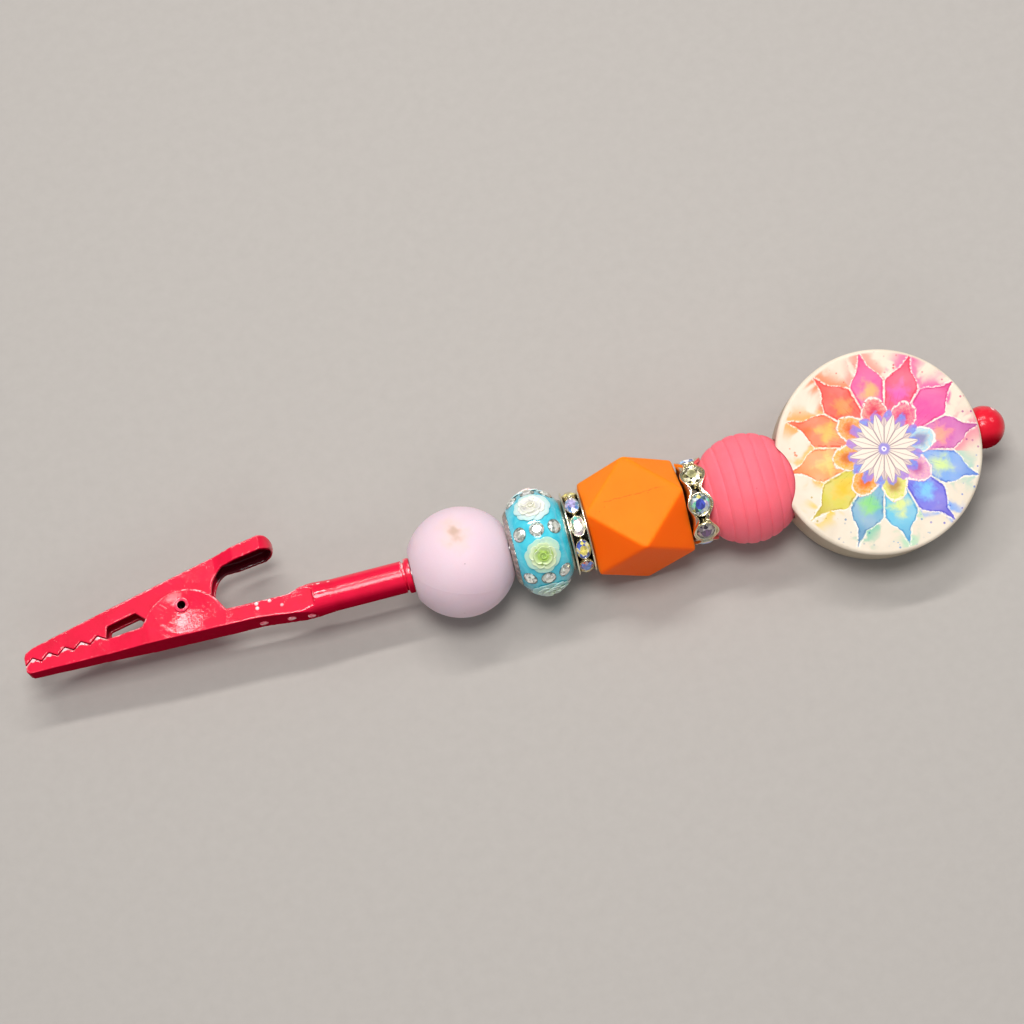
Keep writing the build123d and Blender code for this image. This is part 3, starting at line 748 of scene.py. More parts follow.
# ---------------------------------------------------------------- plain silicone beads
def bead_profile(radius, half, bore, edge=0.45, steps=72):
    """A round bead's closed profile: a sphere with flattened, soft-edged ends and a straight bore."""
    low = math.degrees(math.atan2(math.sqrt(radius**2 - half**2), half))
    crown = arc((0, 0), radius, low, 180 - low, steps)
    return rounded(
        [(-half, bore, 0.2), (*crown[0], edge), *crown[1:-1], (*crown[-1], edge), (half, bore, 0.2)]
    )


BORE_R = 1.06
lavender_x, lavender_half, lavender_r = round_node("lavender_bead")
lavender = silicone(
    "lavender_matte", rgb(227, 203, 213), rgb(220, 193, 205), rgb(164, 138, 146),
    middle("lavender_bead"), (0.30, 0.57, 0.77), stain,
)
piece = lathe("lavender_round", bead_profile(lavender_r, lavender_half, BORE_R), lavender_x, 200)
dress(piece, "lavender", lavender, "lavender_silicone", "lavender_bead")

orange = silicone(
    "orange_matte", rgb(255, 133, 18), rgb(254, 121, 8), rgb(226, 96, 10),
    middle("orange_bead"), None, scratch_and_painted_shade,
)
piece = softened("orange_faceted", "orange_bead", 0.16, 18)
dress(piece, "faceted", orange, "orange_silicone", "orange_bead")

pink_x, pink_half, pink_r = round_node("pink_ribbed_bead")
PINK_RIBS = 8


def rib(x, r, turn):
    """Soft grooves across the ribbed bead, evenly spaced along it."""
    phase = (x + pink_half) / (2 * pink_half) * PINK_RIBS
    across = abs(phase - round(phase)) * 2
    groove = 0.18 * (1 - across) ** 4.0
    at_end = min(1.0, (pink_half - abs(x)) / 0.6)
    return -groove * at_end if r > 3 else 0.0


pink = silicone(
    "pink_matte", rgb(255, 118, 132), rgb(250, 100, 118), rgb(208, 72, 94), middle("pink_ribbed_bead"),
)
piece = lathe("pink_ribbed", bead_profile(pink_r, pink_half, BORE_R, 0.3, 240), pink_x, 200, rib)
dress(piece, "ribbed", pink, "pink_silicone", "pink_ribbed_bead")

ball_r = extent("end_ball").z / 2
ball_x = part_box("end_ball")[1].x / MM - ball_r
ball = rounded([
    (-ball_r * 0.94, 1.0, 0.1), *arc((0, 0), ball_r, 20, 180, 60)[1:-1],
    (ball_r, 0.0), (0.4, 0.0), (0.4, 1.0),
])
piece = lathe("ball_end", ball, ball_x, 120)
dress(piece, "ball", red_ball, "red_paint_ball", "end_ball")

# ---------------------------------------------------------------- resin bead
blue_x, blue_half, _ = round_node("blue_bead_shell")
BLUE_R = 6.95
BLUE_END_R = 4.8
SHELL_LEFT = -3.45          # the shell stops short of the wide ring here
CURVE_R = (blue_half**2 + (BLUE_R - BLUE_END_R) ** 2) / (2 * (BLUE_R - BLUE_END_R))
SLEEVE_R = 2.6
FLOWERS = 6
FLOWER_START = -33.5
CHIP_PITCH = 2.4


def shell_radius(x):
    """Radius of the resin bead at a distance along the rod from its middle."""
    return BLUE_R - CURVE_R + math.sqrt(CURVE_R**2 - x**2)


def resin(name):
    """Glossy opaque resin with pale swirls and a few tiny bubbles under the skin."""
    s = Shader(name)
    p = s.place((blue_x, 0, AXIS.z))
    swirl = s.noise(p, 0.55, 4.0, 0.55, 1.2)
    base = s.mix(s.remap(swirl, 0.3, 0.72), rgb(40, 184, 210), rgb(88, 212, 228))
    spots = s.step(s.voronoi(p, 1.1), 0.09, 0.05)
    base = s.mix(s.times(spots, 0.35), base, rgb(205, 240, 240))
    s.set(Base_Color=base, Roughness=s.vary(swirl, 0.12, 0.24), Specular_IOR_Level=0.6)
    s.set(Coat_Weight=0.9, Coat_Roughness=0.04)
    s.scatter(0.15, (0.4, 0.9, 1.0), 0.8)
    s.bump(s.noise(p, 1.3, 2.0, 0.5), 0.05, 0.25)
    return s.material


shell_steps = [SHELL_LEFT + (blue_half - SHELL_LEFT) * step / 80 for step in range(81)]
crown = [(x, shell_radius(x)) for x in shell_steps]
shell = rounded([
    (SHELL_LEFT, SLEEVE_R), (*crown[0], 0.3), *crown[1:-1], (*crown[-1], 0.35), (blue_half, SLEEVE_R),
])
piece = lathe("resin_shell", shell, blue_x, 200)
dress(piece, "resin_bead", resin("turquoise_gloss"), "turquoise_resin", "blue_bead_shell")

sleeve = mirrored([(-blue_half, 2.3, 0.05), (-blue_half, SLEEVE_R)])
piece = lathe("resin_sleeve", sleeve, blue_x, 96)
dress(piece, "resin_bead", silver, "silver_sleeve", "blue_bead_core")


def rope(x, r, turn):
    """Slanted gadroons round the wide end ring."""
    return 0.10 * math.cos(30 * turn + 3.2 * x) if r > 3.6 else 0.0


grommet_half = extent("blue_bead_grommets").x / 2
wide_ring = rounded([
    (-grommet_half, 2.3, 0.1), (-grommet_half, 4.3, 0.15), (-3.86, 4.62, 0.1), (-3.66, 4.86, 0.1),
    (SHELL_LEFT - 0.03, 5.1, 0.1), (SHELL_LEFT + 0.05, 4.95), (-3.62, 4.1), (-3.62, 2.3),
])
thin_ring = rounded([
    (blue_half - 0.1, 2.3), (blue_half - 0.1, 4.75), (blue_half + 0.04, 4.95, 0.1),
    (grommet_half, 4.75, 0.12), (grommet_half, 2.3, 0.1),
])
piece = make_object("end_rings", *merged([
    turned(wide_ring, on_rod(blue_x), 360, rope), turned(thin_ring, on_rod(blue_x), 160),
]))
ring_plate = metal("ring_plate", (0.66, 0.64, 0.56), (0.34, 0.32, 0.27), 0.2, 0.4)
dress(piece, "resin_bead", ring_plate, "silver_rings", "blue_bead_grommets")


def sheet(rows, columns, spot):
    """An open sheet of points from a function of two shares."""
    points = [spot(row / rows, column / columns) for row in range(rows + 1) for column in range(columns + 1)]
    return points, grid_faces(rows + 1, columns + 1, False, False)


def drooped(place, x, y, z):
    """A point of a flower, bent down with the bead's own curve."""
    return place @ Vector((x, y, z - x * x / (2 * CURVE_R) - y * y / (2 * BLUE_R)))


def petal(place, turn, inner, reach, spread, base, rise):
    """One rounded petal that starts near the core, widens, and curls up at its lip."""
    notch = random.uniform(0.02, 0.10)
    tilt = random.uniform(0.05, 0.11)

    def spot(out, around):
        side = 2 * around - 1
        edge = reach * (1 - 0.20 * abs(side) ** 3 - notch * math.exp(-((side / 0.25) ** 2)))
        r = inner + (edge - inner) * out
        angle = turn + side * spread * (0.75 + 0.25 * math.sin(math.pi * out * 0.75))
        z = base + rise * out**1.7 + tilt * side - 0.05 * math.sin(math.pi * out)
        return drooped(place, r * math.cos(angle), r * math.sin(angle), z)

    return sheet(PETAL_ROWS, PETAL_COLUMNS, spot)


def bud(place, start, turns, outer, base, top):
    """The rolled core: a spiral wall, highest in the middle."""
    def spot(along, up):
        angle = start + 2 * math.pi * turns * along
        r = 0.14 + (outer - 0.14) * along + 0.10 * up * along
        z = base + (top - 0.30 * along - base) * up + 0.03 * math.sin(5 * angle)
        return drooped(place, r * math.cos(angle), r * math.sin(angle), z)

    return sheet(90, 5, spot)


PETAL_ROWS = 8
PETAL_COLUMNS = 14
CORE_R = 1.35               # the disc under each flower's rolled core
TURQUOISE = rgb(110, 208, 216)
ROSE_COLOURS = [            # core and lip of each flower's petals
    (rgb(172, 214, 84), rgb(216, 236, 190)),
    (rgb(232, 230, 212), rgb(238, 242, 230)),
    (rgb(240, 196, 200), rgb(246, 232, 226)),
    (rgb(186, 218, 110), rgb(224, 238, 200)),
    (rgb(236, 226, 206), rgb(242, 242, 230)),
    (rgb(208, 228, 206), rgb(196, 226, 214)),
]
PETAL_RINGS = [             # count, start, reach, spread, base and rise of each ring, outermost first
    (5, 0.9, 2.55, 0.86, 0.10, 0.06),
    (5, 0.75, 1.95, 0.74, 0.16, 0.14),
    (3, 0.5, 1.40, 1.05, 0.22, 0.20),
]
petals = []
petal_colours = []
for flower, (core_colour, lip_colour) in enumerate(ROSE_COLOURS):
    seat = outward(blue_x, FLOWER_START + flower * 360 / FLOWERS, BLUE_R)
    first = random.uniform(0, 6.28)
    for level, (count, inner, reach, spread, base, rise) in enumerate(PETAL_RINGS):
        for number in range(count):
            turn = first + level * 0.6 + 2 * math.pi * number / count
            petals.append(petal(seat, turn, inner, reach * random.uniform(0.92, 1.04), spread, base, rise))
            for row in range(PETAL_ROWS):
                out = (row + 0.5) / PETAL_ROWS
                tone = Vector(core_colour).lerp(Vector(lip_colour), min(1, out + 0.55 - 0.4 * level))
                if level == 0:
                    tone = tone.lerp(Vector(TURQUOISE), 0.15 + 0.45 * out**2)
                petal_colours += [tuple(tone)] * PETAL_COLUMNS
    petals.append(bud(seat, first, 2.6, 1.05, 0.0, 0.50))
    petal_colours += [core_colour] * len(petals[-1][1])
    rim = []
    for corner in range(20):
        turn = 2 * math.pi * corner / 20
        rim.append(seat @ Vector((CORE_R * math.cos(turn), CORE_R * math.sin(turn), 0.10)))
    petals.append((rim, [tuple(range(len(rim)))]))
    petal_colours += [darker(core_colour, 0.8)]
piece = make_object("moulded_roses", *merged(petals), sharp_angle=60)
tint(piece, "petal", petal_colours)
thicken(piece, 0.13)
round_off = piece.modifiers.new("round", "BEVEL")
round_off.width = 0.03 * MM
round_off.segments = 2
round_off.limit_method = "ANGLE"
apply_modifiers(piece)


def petal_resin(name):
    """Soft translucent moulded resin, tinted petal by petal, paler and thinner towards each lip."""
    s = Shader(name)
    p = s.place()
    tone = s.node("Attribute", attribute_name="petal").outputs["Color"]
    edge = s.remap(s.node("NewGeometry").outputs["Pointiness"], 0.50, 0.62)
    veins = s.noise(p, 2.6, 4.0, 0.6)
    tone = s.mix(s.vary(veins, 0.0, 0.15), tone, rgb(205, 214, 170))
    tone = s.mix(s.times(edge, 0.2), tone, rgb(250, 250, 240))
    s.set(Base_Color=tone, Roughness=s.vary(veins, 0.3, 0.48), Specular_IOR_Level=0.5)
    s.scatter(0.35, (0.9, 1.0, 0.5), 0.5)
    s.set(Coat_Weight=0.25, Coat_Roughness=0.15)
    s.bump(veins, 0.03, 0.4)
    return s.material


dress(piece, "resin_bead", petal_resin("rose_resin"), "flower_resin", "blue_bead_roses")

CLEAR = palette((124, 140, 132), (196, 204, 192), (236, 238, 228), (255, 255, 250), (214, 224, 210))
chips = []
collars = []
for row in range(FLOWERS):
    angle = FLOWER_START + (row + 0.5) * 360 / FLOWERS
    for offset in (-CHIP_PITCH, 0.0, CHIP_PITCH):
        lean = math.asin(offset / CURVE_R)
        seat = outward(blue_x + offset, angle, shell_radius(offset), lean)
        twist = Matrix.Rotation(random.uniform(0, 1), 4, "Z")
        sunk = Matrix.Translation((0, 0, -0.04))
        chips.append((seat @ twist @ sunk, 0.94, 0.34, 0.35, rgb(232, 236, 224), CLEAR))
        lip = rounded([(-0.3, 0.93), (-0.3, 1.01), (-0.02, 1.01, 0.03), (0.02, 0.97, 0.03), (-0.04, 0.93)])
        collars.append(turned(lip, seat @ STAND_UP, 40))
piece = set_stones("bead_rhinestones", chips)
dress(piece, "resin_bead", crystal("clear_crystal", 2.6), "clear_stones", "blue_bead_rhinestones")
piece = make_object("rhinestone_seats", *merged(collars))
dark_glue = metal("dark_seat", (0.42, 0.48, 0.46), (0.25, 0.30, 0.30), 0.25, 0.4)
dress(piece, "resin_bead", dark_glue, "clear_stones")

# ---------------------------------------------------------------- plain spacer
spacer_x, spacer_half, spacer_r = round_node("spacer_ring")
SPACER_STONES = 10
SPACER_START = -9.6
RIM_T = 0.26
HUB_R = 4.3
ring = mirrored([
    (-spacer_half, BORE_R, 0.1), (-spacer_half, spacer_r, 0.12),
    (-spacer_half + RIM_T, spacer_r, 0.1), (-spacer_half + RIM_T, HUB_R, 0.1),
])
bezels = [turned(ring, on_rod(spacer_x), 200)]
stones = []
YELLOW = palette((240, 226, 130), (250, 244, 190), (196, 176, 80), (255, 250, 225))
ICE = palette((150, 200, 250), (236, 240, 255), (190, 180, 230), (90, 130, 200), (255, 255, 255))
AURORA = palette((110, 205, 195), (236, 226, 222), (160, 180, 150), (250, 246, 240), (226, 200, 214))
SKY = palette((80, 130, 240), (170, 190, 250), (60, 90, 200), (235, 240, 255), (150, 130, 220))
EMBER = palette((240, 110, 70), (150, 120, 210), (90, 150, 240), (220, 190, 200), (110, 40, 30))
SPLIT = palette((70, 120, 236), (110, 160, 250), (250, 232, 120), (255, 246, 200), (90, 110, 210))
SPACER_SETS = [AURORA, ICE, YELLOW, SKY, AURORA, EMBER, ICE, YELLOW, EMBER, SPLIT]
for place, facets in enumerate(SPACER_SETS):
    angle = SPACER_START + place * 360 / SPACER_STONES
    seat = outward(spacer_x, angle, HUB_R + 0.85) @ Matrix.Diagonal((1, 1.48, 1, 1))
    stones.append((seat, 0.92, 0.36, 0.6, facets[2], facets))
    bezel = rounded([(-0.9, 0.90), (-0.9, 1.0), (0.04, 1.0, 0.04), (0.10, 0.94, 0.04), (0.0, 0.90)])
    bezels.append(turned(bezel, seat @ STAND_UP, 40))
piece = make_object("spacer_metalwork", *merged(bezels))
dress(piece, "plain_spacer", shaded_gold, "spacer_metal", "spacer_ring")
piece = set_stones("spacer_crystals", stones)
dress(piece, "plain_spacer", crystal("spacer_stone", 3.0), "spacer_crystal", "spacer_stones")

# ---------------------------------------------------------------- waved spacer
hub_x, hub_half, hub_r = round_node("wavy_spacer_hub")
WAVY_STONES = 8
WAVY_START = -23.0
wave_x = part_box("wavy_spacer_band")[0].x / MM + 1.7
WAVE_R = 5.45               # the band's ribbons, from the rod's axis
WEB_R = 5.3                 # the webs' outer edge
WAVE_STEPS = 320
hub = mirrored([(-hub_half, BORE_R, 0.1), (-hub_half, hub_r, 0.1)])
piece = lathe("wave_hub", hub, hub_x, 120)
# a nearly black hub: painted shade inside the waved band
shaded_hub_plate = metal("wave_hub_shade_plate", (0.12, 0.10, 0.08), (0.06, 0.05, 0.04), 0.3, 0.5)
dress(piece, "waved_spacer", shaded_hub_plate, "wavy_hub_metal", "wavy_spacer_hub")


LOBES = {-1: 1.72, 1: 1.84}     # the outline's reach on the faceted bead's side and the ribbed bead's
WAIST = 0.80


def wave(turn, side):
    """Half width of the waved band: wide at each stone and pinched between them."""
    share = 0.5 + 0.5 * math.cos(WAVY_STONES * (turn - math.radians(WAVY_START)))
    return WAIST + (LOBES[side] - WAIST) * share**0.8


def around_rod(section, close_section):
    """A band round the rod; the function gives its (x, r) points at each turn."""
    points = []
    for step in range(WAVE_STEPS):
        turn = 2 * math.pi * step / WAVE_STEPS
        outline = section(turn)
        points += [AXIS + Vector((x, r * math.sin(turn), r * math.cos(turn))) for x, r in outline]
    return points, grid_faces(WAVE_STEPS, len(outline), close_columns=close_section)


def wave_rim(side):
    """A rounded ribbon along one edge of the waved band."""
    lip = [(0.0, -0.20), (0.0, 0.14), (-0.07, 0.24), (-0.17, 0.24), (-0.25, 0.14), (-0.25, -0.20)]

    def section(turn):
        return [(wave_x + side * (wave(turn, side) + dx), WAVE_R + dr) for dx, dr in lip]

    return around_rod(section, True)


def wave_web(side):
    """The plate from the ribbon down to the hub, drawn in towards the hub's end."""
    foot = hub_x - wave_x + side * (hub_half - 0.12)

    def section(turn):
        top = side * (wave(turn, side) - 0.16)
        shares = [step / 5 for step in range(6)]
        return [(wave_x + top + (foot - top) * (1 - (1 - inward) ** 1.8),
                 WEB_R + (hub_r - 0.05 - WEB_R) * inward) for inward in shares]

    return around_rod(section, False)


webs = make_object("wave_webs", *merged([wave_web(-1), wave_web(1)]))
thicken(webs, 0.14)
apply_modifiers(webs)
# painted shade on the webs towards the hub
web_plate = metal("shaded_web_plate", *PALE_GOLD, 5.25)
dress(webs, "waved_spacer", web_plate, "wavy_band_metal")
parts = [wave_rim(-1), wave_rim(1)]
stones = []
CHAMPAGNE = palette((214, 208, 140), (250, 248, 214), (120, 112, 66), (240, 236, 200), (70, 62, 40))
IRIS = palette((130, 236, 200), (236, 228, 130), (170, 190, 215), (230, 240, 235), (80, 110, 120))
SMOKE = palette((150, 140, 142), (206, 196, 200), (90, 74, 92), (168, 160, 150), (60, 46, 58))
WAVY_SETS = [               # each stone's table and facets
    (rgb(70, 84, 190), IRIS), (rgb(190, 186, 130), CHAMPAGNE), (rgb(220, 226, 232), ICE),
    (rgb(70, 84, 190), IRIS), (rgb(190, 186, 130), CHAMPAGNE), (rgb(96, 60, 110), SMOKE),
    (rgb(220, 226, 232), ICE), (rgb(96, 60, 110), SMOKE),
]
for place in range(WAVY_STONES):
    angle = WAVY_START + place * 360 / WAVY_STONES
    seat = outward(wave_x, angle, 5.42) @ Matrix.Diagonal((1, 1.12, 1, 1))
    table, facets = WAVY_SETS[place]
    stones.append((seat, 1.20, 0.40, 0.5, table, facets))
    cup = rounded([
        (-1.1, 1.16), (-1.1, 1.42), (0.02, 1.48, 0.08), (0.16, 1.36, 0.08), (0.02, 1.22, 0.04), (-0.2, 1.16),
    ])
    parts.append(turned(cup, seat @ STAND_UP, 56))
piece = make_object("wave_cups", *merged(parts))
dress(piece, "waved_spacer", pale_gold, "wavy_band_metal", "wavy_spacer_band")
piece = set_stones("wave_crystals", stones)
dress(piece, "waved_spacer", crystal("wave_stone", 2.2), "wavy_crystal", "wavy_spacer_stones")

# ---------------------------------------------------------------- printed disc
disc_centre = middle("focal_disc")
DISC_TILT = math.radians(13.53)
DISC_UP = (0.0, -math.sin(DISC_TILT), math.cos(DISC_TILT))
DISC_TOP = (0.0, math.cos(DISC_TILT), math.sin(DISC_TILT))
EDGE_TONES = palette(
    (240, 78, 148), (238, 66, 110), (226, 62, 150), (200, 92, 170), (104, 160, 222),
    (98, 104, 214), (96, 188, 216), (104, 168, 196), (206, 196, 66), (250, 150, 76),
    (250, 112, 56), (242, 78, 62),
)
HEART_TONES = palette(
    (250, 168, 96), (240, 92, 170), (232, 60, 150), (244, 150, 124), (196, 226, 140),
    (112, 190, 240), (206, 224, 130), (120, 206, 120), (240, 186, 26), (252, 196, 96),
    (250, 176, 40), (248, 136, 62),
)
INNER_TONES = palette(
    (240, 96, 112), (236, 84, 132), (158, 208, 224), (214, 146, 190),
    (206, 212, 96), (246, 150, 24), (234, 164, 44), (242, 146, 56),
)
PRINT_OFF = (0.4, 0.2)          # the print sits a little towards the end ball and the top
FACE_DEPTH = 4.42               # the flat faces, from the disc's middle plane, less their soft edge
PETALS = 12
SCALLOPS = 8


def by_sector(s, angle, count, tones):
    """One tone for each of a number of equal sectors round the disc."""
    sector = s.math("MODULO", s.plus(s.times(angle, count / (2 * math.pi)), count + 0.5), count)
    share = s.math("DIVIDE", sector, count)
    return s.ramp(share, [(index / count, tone) for index, tone in enumerate(tones)], "CONSTANT")


def from_spoke(s, angle, r, count):
    """Distance from the nearest of a number of evenly spaced spokes."""
    pitch = 2 * math.pi / count
    return s.times(s.math("SINE", s.math("ABSOLUTE", s.math("WRAP", angle, pitch / 2, -pitch / 2))), r)


def outer_petals(s, ink, ground):
    """Twelve petals, broad near the scallops and thin near the rim, with stray ink between them."""
    r = ink.r
    side = from_spoke(s, ink.angle, r, PETALS)
    outline = [(0.0, 0.62), (0.2, 0.9), (0.45, 1.0), (0.62, 0.62), (0.74, 0.22), (0.9, 0.09), (1.0, 0.0)]
    half = s.ramp(s.remap(r, 5.2, 13.3), outline, "B_SPLINE")
    half = s.math("MINIMUM", s.times(half, 2.6), s.times(r, 0.246))
    inside = s.minus(half, s.plus(side, s.times(ink.wobble, 0.35)))
    edge = by_sector(s, ink.angle, PETALS, EDGE_TONES)
    heart = by_sector(s, ink.angle, PETALS, HEART_TONES)
    deep = s.mix(0.8, edge, s.mix(0.4, edge, rgb(200, 140, 200)), "MULTIPLY")

    from_heart = s.plus(s.math("ABSOLUTE", s.minus(r, 7.8)), s.times(side, 1.15))
    tone = s.mix(s.step(s.plus(from_heart, s.times(ink.wobble, 3)), 2.7, 0.3), edge, heart)
    tone = s.mix(s.remap(ink.wash, 0.30, 0.70, 0.0, 0.22), tone, rgb(250, 214, 206))
    tone = s.mix(s.times(s.step(r, 9.6, 12.4), 0.55), tone, deep)
    streak = s.step(s.math("ABSOLUTE", s.math("SINE", s.times(side, 3.6))), 0.30, 0.05)
    streak = s.times(streak, s.step(r, 8.4, 6.6), s.step(ink.fine, 0.35, 0.60))
    tone = s.mix(s.times(streak, 0.5), tone, deep)
    line = s.times(s.step(inside, 0.36, 0.10), s.step(ink.bleed, 0.36, 0.54))
    tone = s.mix(s.times(line, 0.85), tone, deep)

    more_above = s.remap(ink.v, -6.0, 9.0, 0.0, 0.09)
    pool = s.times(s.step(s.plus(ink.wash, more_above), 0.49, 0.60), s.step(inside, -2.8, -0.2))
    around = s.mix(s.times(pool, 0.85), ground, s.mix(0.55, edge, heart))
    halo = s.times(s.step(inside, -0.34, -0.10), 0.7, s.step(ink.fine, 0.38, 0.55))
    colour = s.mix(s.step(inside, -0.08, 0.10), s.mix(halo, around, rgb(252, 240, 228)), tone)
    drop = s.step(s.voronoi(ink.flat, 1.25), 0.24, 0.14)
    some = s.step(s.noise(s.vector("ADD", ink.flat, (5, 60, 0)), 0.25, 1.0), 0.46, 0.54)
    return s.mix(s.times(drop, some, s.step(inside, -0.1, -0.5), 0.75), colour, deep)


def scallops(s, ink, ground):
    """Eight scallops with pale outlines, and violet marks between them and the star flower."""
    fine = ink.fine
    side = from_spoke(s, ink.angle, ink.r, SCALLOPS)
    out = s.times(s.minus(ink.r, 5.0), 0.82)
    gap = s.minus(s.plus(ink.wobble, 1.78), s.length(s.join(side, out)))
    inner = by_sector(s, ink.angle, SCALLOPS, INNER_TONES)
    tone = s.mix(s.remap(fine, 0.35, 0.65, 0.0, 0.45), inner, rgb(252, 210, 176))
    tone = s.mix(s.step(gap, 0.5, 1.5), tone, s.mix(1.0, inner, rgb(224, 170, 200), "MULTIPLY"))
    lace = s.times(s.step(gap, 0.32, 0.14), s.step(fine, 0.34, 0.48))
    tone = s.mix(s.times(lace, 0.9), tone, rgb(248, 234, 222))
    tone = s.mix(s.times(s.step(gap, 0.10, 0.0), 0.45), tone, rgb(196, 120, 150))
    colour = s.mix(s.step(gap, -0.08, 0.04), ground, tone)

    side = from_spoke(s, ink.angle, ink.r, 2 * SCALLOPS)
    mark = s.plus(s.length(s.join(side, s.times(s.minus(ink.r, 4.1), 0.7))), ink.wobble)
    violet = s.mix(s.remap(fine, 0.35, 0.65), rgb(128, 112, 208), rgb(104, 150, 224))
    violet = s.mix(s.step(ink.wash, 0.44, 0.56), violet, rgb(168, 124, 200))
    return s.mix(s.times(s.step(mark, 0.85, 0.55), 0.9), colour, violet)


def star(s, ink, ground, turn, reach, fill, line):
    """Twelve pointed petals with fine outlines and a faint midrib."""
    r = ink.r
    side = from_spoke(s, s.plus(ink.angle, turn), r, PETALS)
    outline = [(0.0, 0.20), (0.40, 0.78), (0.62, 0.80), (1.0, 0.0)]
    inside = s.minus(s.ramp(s.remap(r, 0.5, reach), outline, "B_SPLINE"), side)
    within_sector = s.minus(s.times(r, 0.255), side)
    tone = s.mix(s.times(s.step(side, 0.10, 0.0), 0.6), fill, line)
    tone = s.mix(s.times(s.step(s.math("MINIMUM", inside, within_sector), 0.12, 0.02), 0.8), tone, line)
    return s.mix(s.times(s.step(inside, -0.02, 0.05), s.step(r, reach, reach - 0.25)), ground, tone)


def star_flower(s, ink, ground):
    """Two stars, the lower one turned by half a petal, round a small ringed eye."""
    colour = star(s, ink, ground, math.pi / PETALS, 4.3, rgb(214, 192, 186), rgb(126, 104, 134))
    colour = star(s, ink, colour, 0.0, 4.8, rgb(238, 220, 204), rgb(128, 104, 118))
    for outer, inner, tone in (
        (0.95, 0.60, rgb(150, 136, 205)), (0.42, 0.28, rgb(236, 226, 240)), (0.20, 0.10, rgb(100, 90, 190)),
    ):
        colour = s.mix(s.step(ink.r, outer, inner), colour, tone)
    return colour


def printed(name):
    """Cream silicone whose flat faces carry a watercolour rosette: petals, scallops and a star flower."""
    s = Shader(name)
    p = s.place(disc_centre)
    on_face = s.join(s.split(p)[0], s.vector("DOT_PRODUCT", p, DISC_TOP))
    depth = s.math("ABSOLUTE", s.vector("DOT_PRODUCT", p, DISC_UP))
    flat = s.vector("SUBTRACT", on_face, (*PRINT_OFF, 0))
    u, v = s.split(flat)[:2]
    ink = SimpleNamespace(flat=flat, v=v)
    ink.wash = s.noise(flat, 0.26, 3.0, 0.5, 0.5)
    ink.bleed = s.noise(s.vector("ADD", flat, (40, 9, 0)), 0.9, 3.0, 0.55, 0.4)
    ink.fine = s.noise(s.vector("ADD", flat, (3, 70, 0)), 2.6, 3.0, 0.6)
    ink.wobble = s.remap(ink.bleed, 0.25, 0.75, -0.3, 0.3)
    ink.r = s.plus(s.length(flat), s.times(ink.wobble, 0.4))
    ink.angle = s.plus(s.math("ARCTAN2", u, v), s.vary(ink.fine, -0.006, 0.006))
    cream = s.mix(s.remap(ink.wash, 0.3, 0.7), rgb(230, 217, 198), rgb(218, 204, 184))
    picture = star_flower(s, ink, scallops(s, ink, outer_petals(s, ink, cream)))
    # painted shade: the disc's side wall is darker than its faces
    side = s.mix(s.step(depth, FACE_DEPTH - 0.12, FACE_DEPTH - 0.82), cream, rgb(186, 172, 148))
    within = s.times(s.step(depth, FACE_DEPTH - 0.12, FACE_DEPTH), s.step(s.length(on_face), 13.42, 13.15))
    grain = s.noise(p, 6.0, 4.0, 0.6)
    s.set(Base_Color=s.mix(within, side, picture))
    s.set(Roughness=s.vary(grain, 0.42, 0.56), Specular_IOR_Level=0.3)
    s.scatter(0.08, (1.0, 0.7, 0.5), 0.6)
    s.bump(grain, 0.012, 0.3)
    return s.material


show_node("focal_disc", printed("rosette_print"))
nodes["focal_disc"].data.shade_smooth()

# ---------------------------------------------------------------- camera, floor and light
CAMERA_TURN = math.radians(-1.614)
CAMERA_RISE = math.radians(71.357)
CAMERA_ROLL = math.radians(-12.956)
CAMERA_AWAY = 350.0
LOOK_AT = Vector((0.529, 5.086, 7.5))

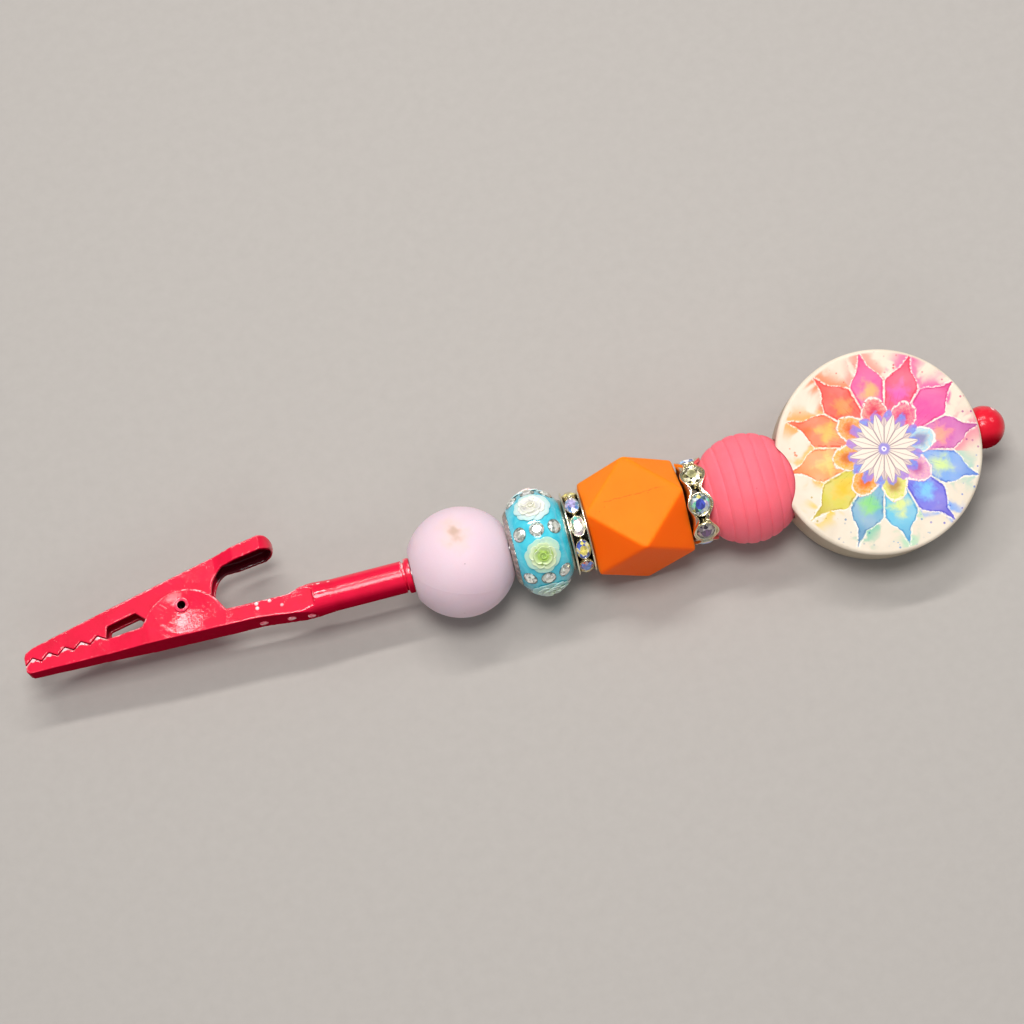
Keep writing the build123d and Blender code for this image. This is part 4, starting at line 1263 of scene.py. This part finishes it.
back = Vector((
    math.sin(CAMERA_TURN) * math.cos(CAMERA_RISE),
    -math.cos(CAMERA_TURN) * math.cos(CAMERA_RISE),
    math.sin(CAMERA_RISE),
))
level = Vector((0, 0, 1)).cross(back).normalized()
up = back.cross(level)
right = level * math.cos(CAMERA_ROLL) + up * math.sin(CAMERA_ROLL)
up = up * math.cos(CAMERA_ROLL) - level * math.sin(CAMERA_ROLL)
camera = bpy.data.objects.new("camera", bpy.data.cameras.new("camera"))
camera.data.lens = 90.96
camera.data.sensor_width = 36
camera.data.clip_start = 0.01
camera.matrix_world = (
    Matrix.Translation((LOOK_AT + back * CAMERA_AWAY) * MM)
    @ Matrix((right, up, back)).transposed().to_4x4()
)
bpy.context.scene.collection.objects.link(camera)
bpy.context.scene.camera = camera


def area_light(name, at, aim, size, power, colour=(1, 1, 1), reflected=True):
    """A soft light of a width and height, in millimetres, that may be left out of reflections."""
    lamp = bpy.data.objects.new(name, bpy.data.lights.new(name, "AREA"))
    lamp.data.shape = "RECTANGLE"
    lamp.data.size = size[0] * MM
    lamp.data.size_y = size[1] * MM
    lamp.data.energy = power
    lamp.data.color = colour
    lamp.location = Vector(at) * MM
    lamp.rotation_euler = (Vector(aim) - Vector(at)).to_track_quat("-Z", "Y").to_euler()
    lamp.visible_glossy = reflected
    bpy.context.scene.collection.objects.link(lamp)


area_light("overhead", (0, 20, 460), (0, 0, 5), (170, 150), 1.38, (1.0, 0.98, 0.96))
area_light("strip", (-10, 235, 410), (-10, 0, 6), (330, 30), 1.05, (1.0, 0.98, 0.95))
area_light("fill", (-40, -300, 260), (0, 0, 5), (200, 120), 0.18, (1.0, 0.97, 0.94), False)
area_light("side", (260, 60, 200), (20, 0, 8), (70, 70), 0.10)

floor_mesh = bpy.data.meshes.new("floor")
floor_mesh.from_pydata([(-3, -3, 0), (3, -3, 0), (3, 3, 0), (-3, 3, 0)], [], [(0, 1, 2, 3)])
floor = bpy.data.objects.new("floor", floor_mesh)
floor.location.z = -0.00002
paper = Shader("pale_floor")
paper_grain = paper.noise(paper.place(), 0.6, 4.0, 0.6)
paper.set(Base_Color=paper.mix(paper_grain, rgb(166, 161, 156), rgb(174, 169, 164)), Roughness=0.9)
floor.data.materials.append(paper.material)
bpy.context.scene.collection.objects.link(floor)

world = bpy.data.worlds.new("studio")
world.use_nodes = True
world.node_tree.nodes["Background"].inputs["Color"].default_value = (0.92, 0.95, 1.0, 1.0)
world.node_tree.nodes["Background"].inputs["Strength"].default_value = 0.27
bpy.context.scene.world = world
bpy.context.scene.view_settings.view_transform = "Standard"
